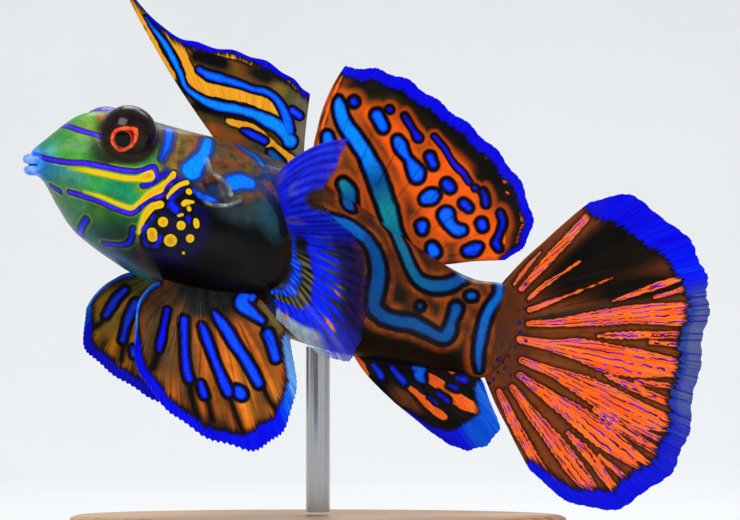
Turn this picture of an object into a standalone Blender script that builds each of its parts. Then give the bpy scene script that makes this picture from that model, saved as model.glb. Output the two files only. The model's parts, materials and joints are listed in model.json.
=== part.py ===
"""A life-size mandarinfish, swimming with its fins spread, held by a plain display stand.

The shape is set out on a side drawing in millimetres: x runs from the drawing's left edge towards the
tail, and d runs down from its top edge. The fish bends in one arc, so the depth of a point of its middle
plane follows from x. The drawing is what an eye sees from VIEW_DISTANCE away, so place() makes a point
that is nearer to the eye smaller by that share.
"""

import math

import bmesh
import bpy
import numpy as np
from mathutils import Matrix, Vector

MM = 0.001

# The drawing and the stand
ROD_X = 31.8                # the rod stands under this place of the drawing
FLOOR_D = 57.5              # the floor's place on the drawing
VIEW_DISTANCE = 800.0
VIEW_X, VIEW_D = 37.0, 26.0  # the middle of the drawing
BASE_LENGTH, BASE_DEPTH, BASE_HEIGHT = 50.0, 38.0, 6.0
BASE_EDGE = 0.8
ROD_RADIUS = 1.2

# The body's bend: how steeply the middle plane runs towards the eye at the snout, and how it straightens
SNOUT_X = 3.0
SNOUT_SLOPE = 0.445
STRAIGHTENING = 0.0084

GAP = 0.3                   # between neighbouring pieces
ROOT = 0.9                  # how deep a fin is rooted before it is trimmed to the body

# Each rib of the body: back x and d, belly x and d, half width, and how low its widest place lies
RIBS = (
    (2.9, 16.2, 2.9, 16.7, 0.10, 0.00),
    (3.0, 15.6, 3.1, 17.4, 1.05, 0.00),
    (3.5, 15.0, 4.1, 17.8, 1.65, 0.05),
    (4.8, 13.8, 5.3, 19.2, 2.60, 0.08),
    (6.3, 12.6, 6.4, 21.1, 3.70, 0.12),
    (8.0, 11.5, 7.8, 23.2, 4.70, 0.15),
    (10.0, 11.1, 9.4, 24.6, 5.55, 0.17),
    (12.6, 11.2, 11.6, 26.2, 6.20, 0.18),
    (15.6, 12.2, 14.2, 27.8, 6.80, 0.18),
    (18.8, 13.1, 17.0, 29.0, 7.15, 0.17),
    (22.0, 13.9, 19.8, 30.2, 7.30, 0.15),
    (25.4, 15.0, 22.8, 31.4, 7.10, 0.13),
    (28.8, 16.5, 26.0, 32.7, 6.65, 0.11),
    (32.4, 18.4, 29.4, 34.0, 6.00, 0.10),
    (36.4, 20.9, 33.4, 35.2, 5.20, 0.08),
    (40.4, 23.7, 37.8, 36.1, 4.40, 0.05),
    (44.2, 26.3, 42.0, 36.8, 3.60, 0.02),
    (47.4, 27.9, 45.6, 37.3, 2.95, 0.00),
    (50.0, 28.3, 48.0, 37.8, 2.40, 0.00),
    (51.6, 29.0, 49.8, 37.2, 1.80, 0.00),
    (52.6, 30.8, 51.6, 35.6, 1.00, 0.00),
    (52.8, 33.0, 52.7, 33.6, 0.10, 0.00),
)
BODY_SIDES, BODY_RINGS = 28, 36

# Where the body is parted into head, trunk and tail stem: back and belly points of each cut
HEAD_CUT = ((20.6, 12.0), (16.4, 31.0))
STEM_CUT = ((46.4, 25.0), (42.6, 39.0))

# Eyes: a ball in the head's upper side, looking outwards and a little forwards
EYE_X, EYE_D = 11.7, 13.5
EYE_OFF = 3.5
EYE_RADIUS = 2.9
COLLAR_RADIUS = 3.45
COLLAR_SINK = 0.85

# Mouth: two lips round a small gape
LIP_X, UPPER_LIP_D, LOWER_LIP_D = 4.4, 15.9, 17.0
LIP_REACH, LIP_HALF_WIDTH, LIP_RADIUS = 1.65, 1.30, 0.56
LOWER_LIP_SHORTER = 0.10
GAPE_HEIGHT, GAPE_DEPTH = 0.24, 1.1

# Nostrils and gill openings: a low ring with a pit in it
NOSTRIL_RIB, NOSTRIL_TURN, NOSTRIL_RADIUS, NOSTRIL_TUBE = 4.75, 0.66, 0.36, 0.22
GILL_RIB, GILL_TURN = 9.75, 1.16
GILL_LENGTH, GILL_WIDTH, GILL_TUBE = 1.55, 0.95, 0.36

# Fins: sheet and ray thickness
SHEET, RAY, FIN_EDGE = 0.50, 1.05, 0.36
RAY_HALF_WIDTH = 0.36
SCALLOP = 0.022             # how far the edge draws back between rays, as a share of the ray
FORK_FROM, FORK_TO, FORK_SPREAD = 0.45, 0.70, 0.24

# Lines of the fins that stand in the middle plane: root x and d, tip x and d, bow, kind of line
FIRST_DORSAL = (
    (22.7, 15.1, 12.1, -1.9, 0.55, "spine"),
    (23.1, 15.3, 16.2, 2.6, 0.35, "sheet"),
    (23.8, 15.6, 19.8, 4.2, 0.2, "spine"),
    (25.0, 16.1, 23.4, 5.0, 0.2, "sheet"),
    (26.2, 16.6, 26.7, 6.1, 0.3, "spine"),
    (28.2, 17.5, 29.4, 7.9, 0.3, "spine"),
    (30.3, 18.6, 31.0, 9.4, 0.2, "sheet"),
)
SECOND_DORSAL = (
    (31.7, 19.1, 34.5, 6.6, 1.3, "ray"),
    (33.1, 20.0, 37.7, 6.8, 0.9, "ray"),
    (34.5, 21.0, 40.9, 7.9, 0.7, "ray"),
    (35.9, 22.0, 43.9, 10.0, 0.5, "ray"),
    (37.3, 22.95, 46.9, 12.3, 0.4, "ray"),
    (38.7, 23.9, 49.8, 15.0, 0.3, "ray"),
    (40.0, 24.8, 52.2, 18.2, 0.2, "ray"),
    (41.1, 25.55, 53.4, 22.0, 0.0, "ray"),
    (41.9, 26.1, 52.4, 24.7, 0.1, "ray"),
    (42.5, 26.5, 50.5, 26.0, 0.1, "sheet"),
)
TAIL_FIN = (
    (49.8, 29.0, 59.0, 20.2, 0.3, "ray"),
    (50.2, 29.9, 63.3, 19.5, 0.3, "ray"),
    (50.6, 30.9, 69.0, 23.8, 0.2, "ray"),
    (50.9, 31.9, 70.8, 27.6, 0.0, "ray"),
    (51.1, 32.8, 71.0, 31.2, 0.0, "ray"),
    (51.1, 33.7, 70.1, 36.6, 0.0, "ray"),
    (50.9, 34.7, 69.0, 43.2, 0.0, "ray"),
    (50.5, 35.7, 67.2, 47.4, 0.0, "ray"),
    (49.9, 36.5, 61.9, 51.0, -0.2, "ray"),
    (49.2, 37.1, 56.8, 50.2, -0.2, "ray"),
    (48.5, 37.4, 53.0, 47.0, -0.2, "ray"),
)
ANAL_FIN = (
    (35.2, 34.9, 40.6, 41.0, -0.5, "ray"),
    (37.0, 35.2, 43.0, 43.1, -0.4, "ray"),
    (38.8, 35.5, 45.0, 44.5, -0.3, "ray"),
    (40.6, 35.7, 46.8, 45.1, -0.2, "ray"),
    (42.4, 35.9, 48.7, 44.6, 0.0, "ray"),
    (44.1, 36.1, 50.0, 42.9, 0.2, "ray"),
    (45.7, 36.3, 49.3, 41.0, 0.3, "ray"),
    (47.0, 36.5, 48.4, 38.9, 0.2, "sheet"),
)

# Lines of the paired fins: root x, d and y, tip x, d and y, bow, kind of line
PELVIC_LEFT = (
    (17.6, 28.0, -6.2, 13.7, 32.4, -11.2, -1.5, "ray"),
    (18.4, 28.3, -6.4, 13.7, 36.8, -12.6, -1.1, "ray"),
    (19.2, 28.5, -6.5, 16.6, 41.0, -13.2, -0.7, "ray"),
    (20.1, 28.7, -6.6, 20.7, 43.9, -13.2, -0.2, "ray"),
    (21.0, 28.8, -6.6, 25.4, 45.2, -12.6, 0.2, "ray"),
    (21.9, 28.8, -6.6, 28.4, 43.2, -11.8, 0.4, "ray"),
    (22.9, 28.7, -6.6, 29.7, 38.8, -10.6, 0.5, "ray"),
    (24.0, 28.6, -6.5, 29.0, 34.0, -9.0, 0.5, "sheet"),
)
PELVIC_RIGHT = (
    (15.2, 27.3, 1.0, 8.6, 31.0, 0.6, -1.3, "ray"),
    (15.9, 27.6, 1.0, 8.4, 34.9, 2.0, -1.0, "ray"),
    (16.6, 27.9, 1.0, 11.3, 37.6, 3.6, -0.7, "ray"),
    (17.4, 28.1, 1.0, 15.2, 40.0, 4.8, -0.2, "ray"),
    (18.2, 28.2, 1.0, 19.6, 41.4, 5.4, 0.2, "ray"),
    (19.0, 28.2, 1.0, 23.2, 40.6, 5.6, 0.4, "ray"),
    (19.9, 28.1, 1.0, 25.2, 37.2, 5.4, 0.5, "ray"),
    (20.9, 28.0, 1.2, 24.8, 33.2, 4.8, 0.5, "sheet"),
)
PECTORAL = (
    (26.9, 19.2, -5.6, 35.0, 13.9, -9.6, 1.4, "ray"),
    (27.3, 20.1, -5.9, 33.6, 16.8, -11.2, 0.9, "ray"),
    (27.7, 21.1, -6.2, 32.2, 19.6, -13.0, 0.4, "ray"),
    (28.0, 22.0, -6.4, 33.3, 21.7, -13.8, 0.0, "ray"),
    (28.2, 23.0, -6.6, 35.2, 23.3, -13.2, -0.1, "ray"),
    (28.3, 23.8, -6.6, 36.4, 25.6, -12.6, 0.0, "ray"),
    (28.3, 24.6, -6.6, 36.8, 28.4, -12.6, 0.1, "ray"),
    (28.3, 25.3, -6.6, 36.7, 31.2, -12.9, 0.2, "ray"),
    (28.2, 26.0, -6.6, 36.1, 34.0, -13.3, 0.3, "ray"),
    (28.0, 26.7, -6.5, 34.9, 36.1, -13.4, 0.3, "ray"),
    (27.6, 27.4, -6.4, 32.3, 35.6, -13.2, 0.3, "ray"),
    (27.2, 27.9, -6.3, 29.7, 33.8, -12.6, 0.3, "ray"),
    (26.8, 28.4, -6.2, 27.6, 31.8, -11.6, 0.3, "sheet"),
)
PECTORAL_MIRROR_X = 28.0    # the right pectoral mirrors the left one through the middle plane here
RIGHT_PECTORAL_SHARE = 0.90

SKIN_COLOUR = (0.16, 0.09, 0.03, 1.0)
HEAD_COLOUR = (0.13, 0.38, 0.14, 1.0)
FIN_COLOUR = (0.80, 0.22, 0.03, 1.0)
BLUE_FIN_COLOUR = (0.02, 0.10, 0.75, 1.0)
EYE_COLOUR = (0.55, 0.06, 0.02, 1.0)
WOOD_COLOUR = (0.62, 0.45, 0.28, 1.0)
STEEL_COLOUR = (0.62, 0.63, 0.65, 1.0)


# Placing points of the drawing

def bend(x):
    """Depth of the fish's middle plane at x of the drawing, growing away from the eye."""
    def run(at):
        return SNOUT_SLOPE * (at - SNOUT_X) - STRAIGHTENING / 2 * (at - SNOUT_X) ** 2
    return run(x) - run(ROD_X)


def sideways(x):
    """The direction from the middle plane out to the fish's left side, which faces the eye."""
    slope = SNOUT_SLOPE - STRAIGHTENING * (x - SNOUT_X)
    return Vector((slope, -1.0, 0.0)).normalized()


def forwards(x):
    """The direction from tail to head in the middle plane, level."""
    side = sideways(x)
    return Vector((side.y, -side.x, 0.0))


def place(x, d, y):
    """A point of the drawing at depth y, in millimetres from the stand's foot."""
    share = 1.0 + y / VIEW_DISTANCE
    return Vector((
        VIEW_X + (x - VIEW_X) * share - ROD_X,
        y,
        FLOOR_D - VIEW_D - (d - VIEW_D) * share,
    ))


def smooth_step(a, b, value):
    """0 below a, 1 above b, and smooth between."""
    t = min(1.0, max(0.0, (value - a) / (b - a)))
    return t * t * (3.0 - 2.0 * t)


def along(rows, at):
    """The smooth curve through rows of numbers, at a place counted in rows."""
    last = len(rows) - 1
    k = min(last - 1, max(0, int(at)))
    t = at - k
    p1, p2 = np.array(rows[k]), np.array(rows[k + 1])
    p0 = np.array(rows[k - 1]) if k > 0 else 2 * p1 - p2
    p3 = np.array(rows[k + 2]) if k + 2 <= last else 2 * p2 - p1
    return 0.5 * (2 * p1 + (p2 - p0) * t + (2 * p0 - 5 * p1 + 4 * p2 - p3) * t ** 2
                  + (3 * p1 - p0 - 3 * p2 + p3) * t ** 3)


# Blender helpers

def clear_scene():
    for obj in list(bpy.data.objects):
        bpy.data.objects.remove(obj, do_unlink=True)


def material(name, colour, roughness, metallic=0.0):
    made = bpy.data.materials.new(name)
    made.use_nodes = True
    shader = made.node_tree.nodes["Principled BSDF"]
    shader.inputs["Base Color"].default_value = colour
    shader.inputs["Roughness"].default_value = roughness
    shader.inputs["Metallic"].default_value = metallic
    return made


def object_of(name, mesh, finish=None, smooth=True):
    obj = bpy.data.objects.new(name, mesh)
    collection.objects.link(obj)
    if smooth:
        mesh.shade_smooth()
    if finish:
        mesh.materials.clear()
        mesh.materials.append(finish)
    return obj


def mesh_of(name, shape):
    mesh = bpy.data.meshes.new(name)
    shape.to_mesh(mesh)
    shape.free()
    return mesh


def face_outwards(shape):
    bmesh.ops.recalc_face_normals(shape, faces=shape.faces)
    if shape.calc_volume(signed=True) < 0:
        bmesh.ops.reverse_faces(shape, faces=shape.faces)


def baked(obj):
    """The object with its modifiers or its curve made one plain mesh, ends closed."""
    bpy.context.view_layer.update()
    graph = bpy.context.evaluated_depsgraph_get()
    mesh = bpy.data.meshes.new_from_object(obj.evaluated_get(graph), depsgraph=graph)
    mesh.transform(obj.matrix_world)
    name = obj.name
    bpy.data.objects.remove(obj, do_unlink=True)
    shape = bmesh.new()
    shape.from_mesh(mesh)
    bmesh.ops.remove_doubles(shape, verts=shape.verts, dist=0.00001)
    shape.to_mesh(mesh)
    shape.free()
    return object_of(name, mesh)


def cut(obj, operation, others):
    """Joins, cuts or keeps what obj shares with a group of closed meshes, which are then removed."""
    group = bpy.data.collections.new("cutters")
    bpy.context.scene.collection.children.link(group)
    for other in others:
        collection.objects.unlink(other)
        group.objects.link(other)
    step = obj.modifiers.new("cut", "BOOLEAN")
    step.operation = operation
    step.operand_type = "COLLECTION"
    step.collection = group
    step.solver = "EXACT"
    made = baked(obj)
    for other in list(group.objects):
        bpy.data.objects.remove(other, do_unlink=True)
    bpy.data.collections.remove(group)
    return largest(made)


def largest(obj):
    """Keeps only the largest closed surface of the object."""
    shape = bmesh.new()
    shape.from_mesh(obj.data)
    left, pieces = set(shape.faces), []
    while left:
        stack = [left.pop()]
        piece = set(stack)
        while stack:
            for edge in stack.pop().edges:
                for face in edge.link_faces:
                    if face in left:
                        left.discard(face)
                        piece.add(face)
                        stack.append(face)
        pieces.append(piece)
    keep = max(pieces, key=lambda piece: sum(face.calc_area() for face in piece))
    bmesh.ops.delete(shape, geom=[face for face in shape.faces if face not in keep], context="FACES")
    shape.to_mesh(obj.data)
    shape.free()
    return obj


def ball(name, centre, radius, segments=24, rings=16, axis=None):
    """A ball whose poles lie on the axis given, so that balls on one axis meet in a clean ring."""
    shape = bmesh.new()
    bmesh.ops.create_uvsphere(shape, u_segments=segments, v_segments=rings, radius=radius * MM)
    if axis:
        turn = Vector((0, 0, 1)).rotation_difference(axis).to_matrix()
        bmesh.ops.rotate(shape, verts=shape.verts, matrix=turn)
    bmesh.ops.translate(shape, verts=shape.verts, vec=centre * MM)
    return object_of(name, mesh_of(name, shape))


def tube(name, points, radius, ends=1.0):
    """A closed tube through points, thinner towards its ends by the share given."""
    curve = bpy.data.curves.new(name, "CURVE")
    curve.dimensions = "3D"
    curve.bevel_depth = radius * MM
    curve.bevel_resolution = 2
    curve.use_fill_caps = True
    line = curve.splines.new("POLY")
    line.points.add(len(points) - 1)
    middle = (len(points) - 1) / 2
    for k, point in enumerate(points):
        line.points[k].co = (*(point * MM), 1.0)
        line.points[k].radius = 1.0 - (1.0 - ends) * (abs(k - middle) / middle) ** 2
    return baked(object_of_curve(name, curve))


def object_of_curve(name, curve):
    obj = bpy.data.objects.new(name, curve)
    collection.objects.link(obj)
    return obj


# The body

def body_point(at, turn, grow=0.0):
    """A point of the body: at counts ribs from the snout, turn rises from the back down the left side."""
    back_x, back_d, belly_x, belly_d, width, low = along(RIBS, at)
    back = place(back_x, back_d, bend(back_x))
    belly = place(belly_x, belly_d, bend(belly_x))
    half = (back - belly) / 2
    middle = (back + belly) / 2
    up = math.cos(turn)
    out = (max(width, 0.0) + grow) * math.sin(turn) * (1.0 - low * up)
    side = sideways((back_x + belly_x) / 2)
    return middle + half * up * (1.0 + grow / max(half.length, 0.3)) + side * out


def body_shape(name, grow=0.0):
    """A UV sphere whose poles are drawn out to the snout and the tail, and whose rings follow the ribs."""
    shape = bmesh.new()
    bmesh.ops.create_uvsphere(shape, u_segments=BODY_SIDES, v_segments=BODY_RINGS, radius=1.0)
    for vert in shape.verts:
        at = math.acos(max(-1.0, min(1.0, -vert.co.z))) / math.pi * (len(RIBS) - 1)
        turn = math.atan2(vert.co.y, vert.co.x)
        point = body_point(at, turn, grow)
        if grow:
            ahead = forwards(point.x + ROD_X)
            ends = smooth_step(1.5, 0.0, at) - smooth_step(len(RIBS) - 2.5, len(RIBS) - 1, at)
            point += ahead * ends * grow
        vert.co = point * MM
    face_outwards(shape)
    return object_of(name, mesh_of(name, shape))


def body_normal(at, turn):
    step = 0.05
    along_body = body_point(at + step, turn) - body_point(at - step, turn)
    round_body = body_point(at, turn + step) - body_point(at, turn - step)
    normal = along_body.cross(round_body).normalized()
    outwards = body_point(at, turn) - body_point(at, turn + math.pi)
    return normal if normal.dot(outwards) > 0 else -normal


def keep_box(name, front, rear):
    """A block over the stretch of the body between two cuts, each a back and a belly point or None."""
    reach, tall = 60.0, 60.0
    corners = []
    for edge, end, inwards in ((front, -reach, GAP / 2), (rear, reach, -GAP / 2)):
        for k, level in enumerate((-tall, tall + FLOOR_D)):
            if edge is None:
                x = ROD_X + end
            else:
                (x0, d0), (x1, d1) = edge
                x = x0 + (x1 - x0) * (level - d0) / (d1 - d0) + inwards
            corners.append((x - ROD_X, FLOOR_D - level))
    shape = bmesh.new()
    bmesh.ops.create_cube(shape, size=1.0)
    for vert in shape.verts:
        x, z = corners[(2 if vert.co.x > 0 else 0) + (0 if vert.co.z > 0 else 1)]
        vert.co = Vector((x, math.copysign(reach, vert.co.y), z)) * MM
    return object_of(name, mesh_of(name, shape))


def eye_centre(side):
    return place(EYE_X, EYE_D, bend(EYE_X)) + sideways(EYE_X) * EYE_OFF * side


def ring(name, centre, across, along_side, out, tube_radius, segments=14):
    """A closed ring lying on the skin, with half sizes along two directions."""
    shape = bmesh.new()
    sides = 6
    loops = []
    for k in range(segments):
        a = 2 * math.pi * k / segments
        spoke = across * math.cos(a) + along_side * math.sin(a)
        line = centre + spoke
        radial = spoke.normalized()
        loops.append([
            shape.verts.new((line + (radial * math.cos(b) + out * math.sin(b)) * tube_radius) * MM)
            for b in (2 * math.pi * m / sides for m in range(sides))
        ])
    for k in range(segments):
        one, two = loops[k], loops[(k + 1) % segments]
        for m in range(sides):
            n = (m + 1) % sides
            shape.faces.new((one[m], one[n], two[n], two[m]))
    face_outwards(shape)
    return object_of(name, mesh_of(name, shape))


def opening_ring(name, at, turn, length, width, tube_radius, tilt):
    """A ring round an opening of the skin, its long side turned by tilt from the body's length."""
    centre = body_point(at, turn)
    out = body_normal(at, turn)
    tailwards = (body_point(at + 0.1, turn) - body_point(at - 0.1, turn)).normalized()
    tailwards = Matrix.Rotation(tilt, 3, out) @ tailwards
    upwards = out.cross(tailwards)
    made = ring(name, centre + out * tube_radius * 0.2, tailwards * length, upwards * width, out, tube_radius)
    pit = ball(name + "_pit", Vector((0, 0, 0)), 1.0, 12, 8)
    depth = tube_radius * 1.6
    axes = Matrix((tailwards * (length - tube_radius * 0.3), upwards * (width - tube_radius * 0.3),
                   out * depth)).transposed()
    pit.data.transform(axes.to_4x4())
    pit.data.transform(Matrix.Translation((centre + out * tube_radius * 0.5) * MM))
    return made, pit


def lip(name, d, shorter):
    """A round lip that curves back from the front of the mouth to its corners, where the two lips meet."""
    corner_d = (UPPER_LIP_D + LOWER_LIP_D) / 2
    ahead, side = forwards(LIP_X), sideways(LIP_X)
    points = []
    for k in range(15):
        a = math.radians(-105 + 15 * k)
        down = (corner_d - d) * (0.8 * math.sin(a) ** 2 + 0.5 * smooth_step(0.0, -0.3, math.cos(a)))
        centre = place(LIP_X, d + down, bend(LIP_X))
        reach = (LIP_REACH - shorter) * math.cos(a)
        points.append(centre + ahead * reach + side * LIP_HALF_WIDTH * math.sin(a))
    return tube(name, points, LIP_RADIUS, 0.75)


def gape():
    """The slot between the lips, a flat lens."""
    ahead, side = forwards(LIP_X), sideways(LIP_X)
    centre = place(LIP_X, (UPPER_LIP_D + LOWER_LIP_D) / 2, bend(LIP_X)) + ahead * LIP_REACH
    made = ball("gape", Vector((0, 0, 0)), 1.0, 24, 12)
    axes = Matrix((ahead * GAPE_DEPTH, side * LIP_HALF_WIDTH * 0.85, Vector((0, 0, GAPE_HEIGHT))))
    made.data.transform(axes.transposed().to_4x4())
    made.data.transform(Matrix.Translation(centre * MM))
    return made


def make_head():
    head = body_shape("head")
    parts, cuts = [], [gape()]
    for side in (1, -1):
        centre = eye_centre(side)
        inwards = sideways(EYE_X) * -side + Vector((0, 0, -0.9))
        axis = inwards.normalized()
        parts.append(ball(f"collar{side}", centre + axis * COLLAR_SINK, COLLAR_RADIUS, 24, 18, axis))
        cuts.append(ball(f"socket{side}", centre, EYE_RADIUS + GAP, 24, 18, axis))
        rim, pit = opening_ring(f"nostril{side}", NOSTRIL_RIB, NOSTRIL_TURN * side, NOSTRIL_RADIUS,
                                NOSTRIL_RADIUS, NOSTRIL_TUBE, 0.0)
        parts.append(rim)
        cuts.append(pit)
    parts.append(lip("upper_lip", UPPER_LIP_D, 0.0))
    parts.append(lip("lower_lip", LOWER_LIP_D, LOWER_LIP_SHORTER))
    head = cut(head, "UNION", parts)
    head = cut(head, "DIFFERENCE", cuts)
    head = cut(head, "INTERSECT", [keep_box("head_box", None, HEAD_CUT)])
    return finished(head, "head", HEAD_COLOUR, 0.35)


def make_trunk():
    trunk = body_shape("trunk")
    parts, cuts = [], []
    for side in (1, -1):
        rim, pit = opening_ring(f"gill{side}", GILL_RIB, GILL_TURN * side, GILL_LENGTH, GILL_WIDTH,
                                GILL_TUBE, 0.35 * side)
        parts.append(rim)
        cuts.append(pit)
    trunk = cut(trunk, "UNION", parts)
    trunk = cut(trunk, "DIFFERENCE", cuts)
    trunk = cut(trunk, "INTERSECT", [keep_box("trunk_box", HEAD_CUT, STEM_CUT)])
    return finished(trunk, "trunk", SKIN_COLOUR, 0.4)


def make_tail_stem():
    stem = cut(body_shape("tail_stem"), "INTERSECT", [keep_box("stem_box", STEM_CUT, None)])
    return finished(stem, "tail_stem", SKIN_COLOUR, 0.4)


def finished(obj, name, colour, roughness, metallic=0.0):
    obj.name = name
    obj.data.name = name
    obj.data.materials.clear()
    obj.data.materials.append(material(name, colour, roughness, metallic))
    obj.data.set_sharp_from_angle(angle=math.radians(50))
    return obj


# Fins

def fin_line(rows, u):
    """Root, tip and bow of the fin at u, counted in lines, with the depth of each end."""
    if len(rows[0]) == 6:
        root_x, root_d, tip_x, tip_d, bow = along([row[:5] for row in rows], u)
        return place(root_x, root_d, bend(root_x)), place(tip_x, tip_d, bend(tip_x)), bow
    root_x, root_d, root_y, tip_x, tip_d, tip_y, bow = along([row[:7] for row in rows], u)
    return place(root_x, root_d, root_y), place(tip_x, tip_d, tip_y), bow


def fin_spacing(rows, k, v):
    """How far apart line k and the next lie, at v."""
    one, two = (fin_line(rows, min(k + step, len(rows) - 1)) for step in (0, 1))
    if k >= len(rows) - 1:
        return 1.0
    return max(0.3, ((one[0] - two[0]) * (1.0 - v) + (one[1] - two[1]) * v).length)


def fin_point(rows, u, v, wave, waves):
    """A point of the fin's middle sheet: v runs from the root, 0, to the edge, 1."""
    root, tip, bow = fin_line(rows, u)
    run = tip - root
    across = Vector((-run.z, 0.0, run.x)).normalized()
    point = root + run * v + across * bow * 4.0 * v * (1.0 - v)
    if len(rows[0]) == 6:
        x = point.x + ROD_X
        point.y = bend(x)
    swing = wave * v * math.sin(2 * math.pi * waves * u / (len(rows) - 1))
    point.y += swing
    return point


# Columns between two lines: the ray itself, the far side of its ridge, the sheet, the near side of the next

COLUMNS = ("middle", "after", "valley", "before")


def across_line(column, spacing, fork):
    """How far into the space after its line a column lies, as a share of that space."""
    beside = min(0.3, RAY_HALF_WIDTH / spacing)
    beside += (FORK_SPREAD - beside) * fork
    return {"middle": 0.0, "after": beside, "valley": 0.5, "before": 1.0 - beside}[column]


def thickness(kind, column, v, fork):
    """How thick the fin is at a column beside a line of this kind."""
    ridge = {"middle": 1.0 - fork, "after": fork, "before": fork, "valley": 0.0}[column]
    if kind == "sheet":
        ridge = 0.0
    full = SHEET + (RAY - SHEET) * ridge * (1.0 - 0.45 * v)
    return full + (FIN_EDGE - full) * smooth_step(0.93, 1.0, v)


def make_fin(name, rows, colour, steps, wave=0.0, waves=1.0, mirror_x=None, length=1.0):
    """A fin: a triangulated grid laid over its lines, thickened so that its rays stand up as ridges."""
    last = len(rows) - 1
    columns = [(k, column) for k in range(last) for column in COLUMNS] + [(last, "middle")]
    shape = bmesh.new()
    bmesh.ops.create_grid(shape, x_segments=len(columns) - 1, y_segments=steps, size=0.5)
    weights = shape.verts.layers.deform.verify()
    for vert in shape.verts:
        k, column = columns[round((vert.co.x + 0.5) * (len(columns) - 1))]
        v = vert.co.y + 0.5
        kind = rows[k + 1 if column == "before" else k][-1]
        fork = smooth_step(FORK_FROM, FORK_TO, v) if kind == "ray" else 0.0
        spacing = fin_spacing(rows, k, v)
        u = k + across_line(column, spacing, fork)
        inset = SCALLOP if column == "valley" else 0.0
        vert.co = fin_point(rows, u, v * (1.0 - inset) * length, wave, waves) * MM
        vert[weights][0] = thickness(kind, column, v, fork) / RAY
    bmesh.ops.triangulate(shape, faces=shape.faces)
    mesh = mesh_of(name, shape)
    obj = object_of(name, mesh)
    group = obj.vertex_groups.new(name="thickness")
    wall = obj.modifiers.new("wall", "SOLIDIFY")
    wall.thickness = RAY * MM
    wall.offset = 0.0
    wall.vertex_group = group.name
    wall.thickness_vertex_group = 0.0
    fin = baked(obj)
    if mirror_x is not None:
        centre = place(mirror_x, 0.0, bend(mirror_x)) * MM
        flip = Matrix.Scale(-1, 4, sideways(mirror_x))
        fin.data.transform(Matrix.Translation((centre.x, centre.y, 0)) @ flip
                           @ Matrix.Translation((-centre.x, -centre.y, 0)))
    shape = bmesh.new()
    shape.from_mesh(fin.data)
    face_outwards(shape)
    shape.to_mesh(fin.data)
    shape.free()
    fin = cut(fin, "DIFFERENCE", [body_shape("trim", GAP)])
    return finished(fin, name, colour, 0.45)


def make_fins():
    make_fin("dorsal_fin_first", FIRST_DORSAL, FIN_COLOUR, 9, 0.35, 1.0)
    make_fin("dorsal_fin_second", SECOND_DORSAL, FIN_COLOUR, 9, 0.45, 1.5)
    make_fin("tail_fin", TAIL_FIN, FIN_COLOUR, 9, 0.8, 1.5)
    make_fin("anal_fin", ANAL_FIN, FIN_COLOUR, 7, 0.3, 1.0)
    make_fin("pelvic_fin_left", PELVIC_LEFT, FIN_COLOUR, 9, 0.5, 1.5)
    make_fin("pelvic_fin_right", PELVIC_RIGHT, FIN_COLOUR, 9, 0.5, 1.5)
    make_fin("pectoral_fin_left", PECTORAL, BLUE_FIN_COLOUR, 7)
    make_fin("pectoral_fin_right", PECTORAL, BLUE_FIN_COLOUR, 7,
             mirror_x=PECTORAL_MIRROR_X, length=RIGHT_PECTORAL_SHARE)


def make_eyes():
    for name, side in (("eye_left", 1), ("eye_right", -1)):
        finished(ball(name, eye_centre(side), EYE_RADIUS, 22, 12), name, EYE_COLOUR, 0.1)


# The stand

def make_stand():
    bpy.ops.mesh.primitive_cylinder_add(vertices=40, radius=0.5, depth=1.0)
    base = bpy.context.object
    base.data.transform(Matrix.Diagonal((BASE_LENGTH * MM, BASE_DEPTH * MM, BASE_HEIGHT * MM, 1.0)))
    base.data.transform(Matrix.Translation((0, 0, BASE_HEIGHT / 2 * MM)))
    for home in base.users_collection:
        home.objects.unlink(base)
    collection.objects.link(base)
    rim = base.modifiers.new("rim", "BEVEL")
    rim.width = BASE_EDGE * MM
    rim.segments = 2
    rim.limit_method = "ANGLE"
    rim.angle_limit = math.radians(60)
    finished(baked(base), "stand_base", WOOD_COLOUR, 0.5)
    foot, top = BASE_HEIGHT + GAP, FLOOR_D - 30.0
    shape = bmesh.new()
    bmesh.ops.create_cone(shape, cap_ends=True, segments=20, radius1=ROD_RADIUS * MM,
                          radius2=ROD_RADIUS * MM, depth=(top - foot) * MM)
    bmesh.ops.translate(shape, verts=shape.verts, vec=(0, 0, (top + foot) / 2 * MM))
    rod = object_of("stand_rod", mesh_of("stand_rod", shape))
    rod = cut(rod, "DIFFERENCE", [body_shape("trim", GAP)])
    finished(rod, "stand_rod", STEEL_COLOUR, 0.3, 1.0)


clear_scene()
collection = bpy.data.collections.new("mandarinfish")
bpy.context.scene.collection.children.link(collection)
make_head()
make_trunk()
make_tail_stem()
make_eyes()
make_fins()
make_stand()
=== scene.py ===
# %% [markdown]
# # A mandarinfish on its stand
# A mandarinfish is a small reef fish with bare, slimy skin and some of the strongest colours of any animal.
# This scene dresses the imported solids: one skin over the body, thin fins with raised rays, wet eyes, and
# markings that are drawn as strokes on the fish itself. Everything is worked out in millimetres, because the
# fish is only 71 mm long, and turned into metres when a mesh is made.

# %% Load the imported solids
import json
import math

import bmesh
import bpy
import numpy as np
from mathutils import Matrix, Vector
from mathutils.bvhtree import BVHTree

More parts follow.
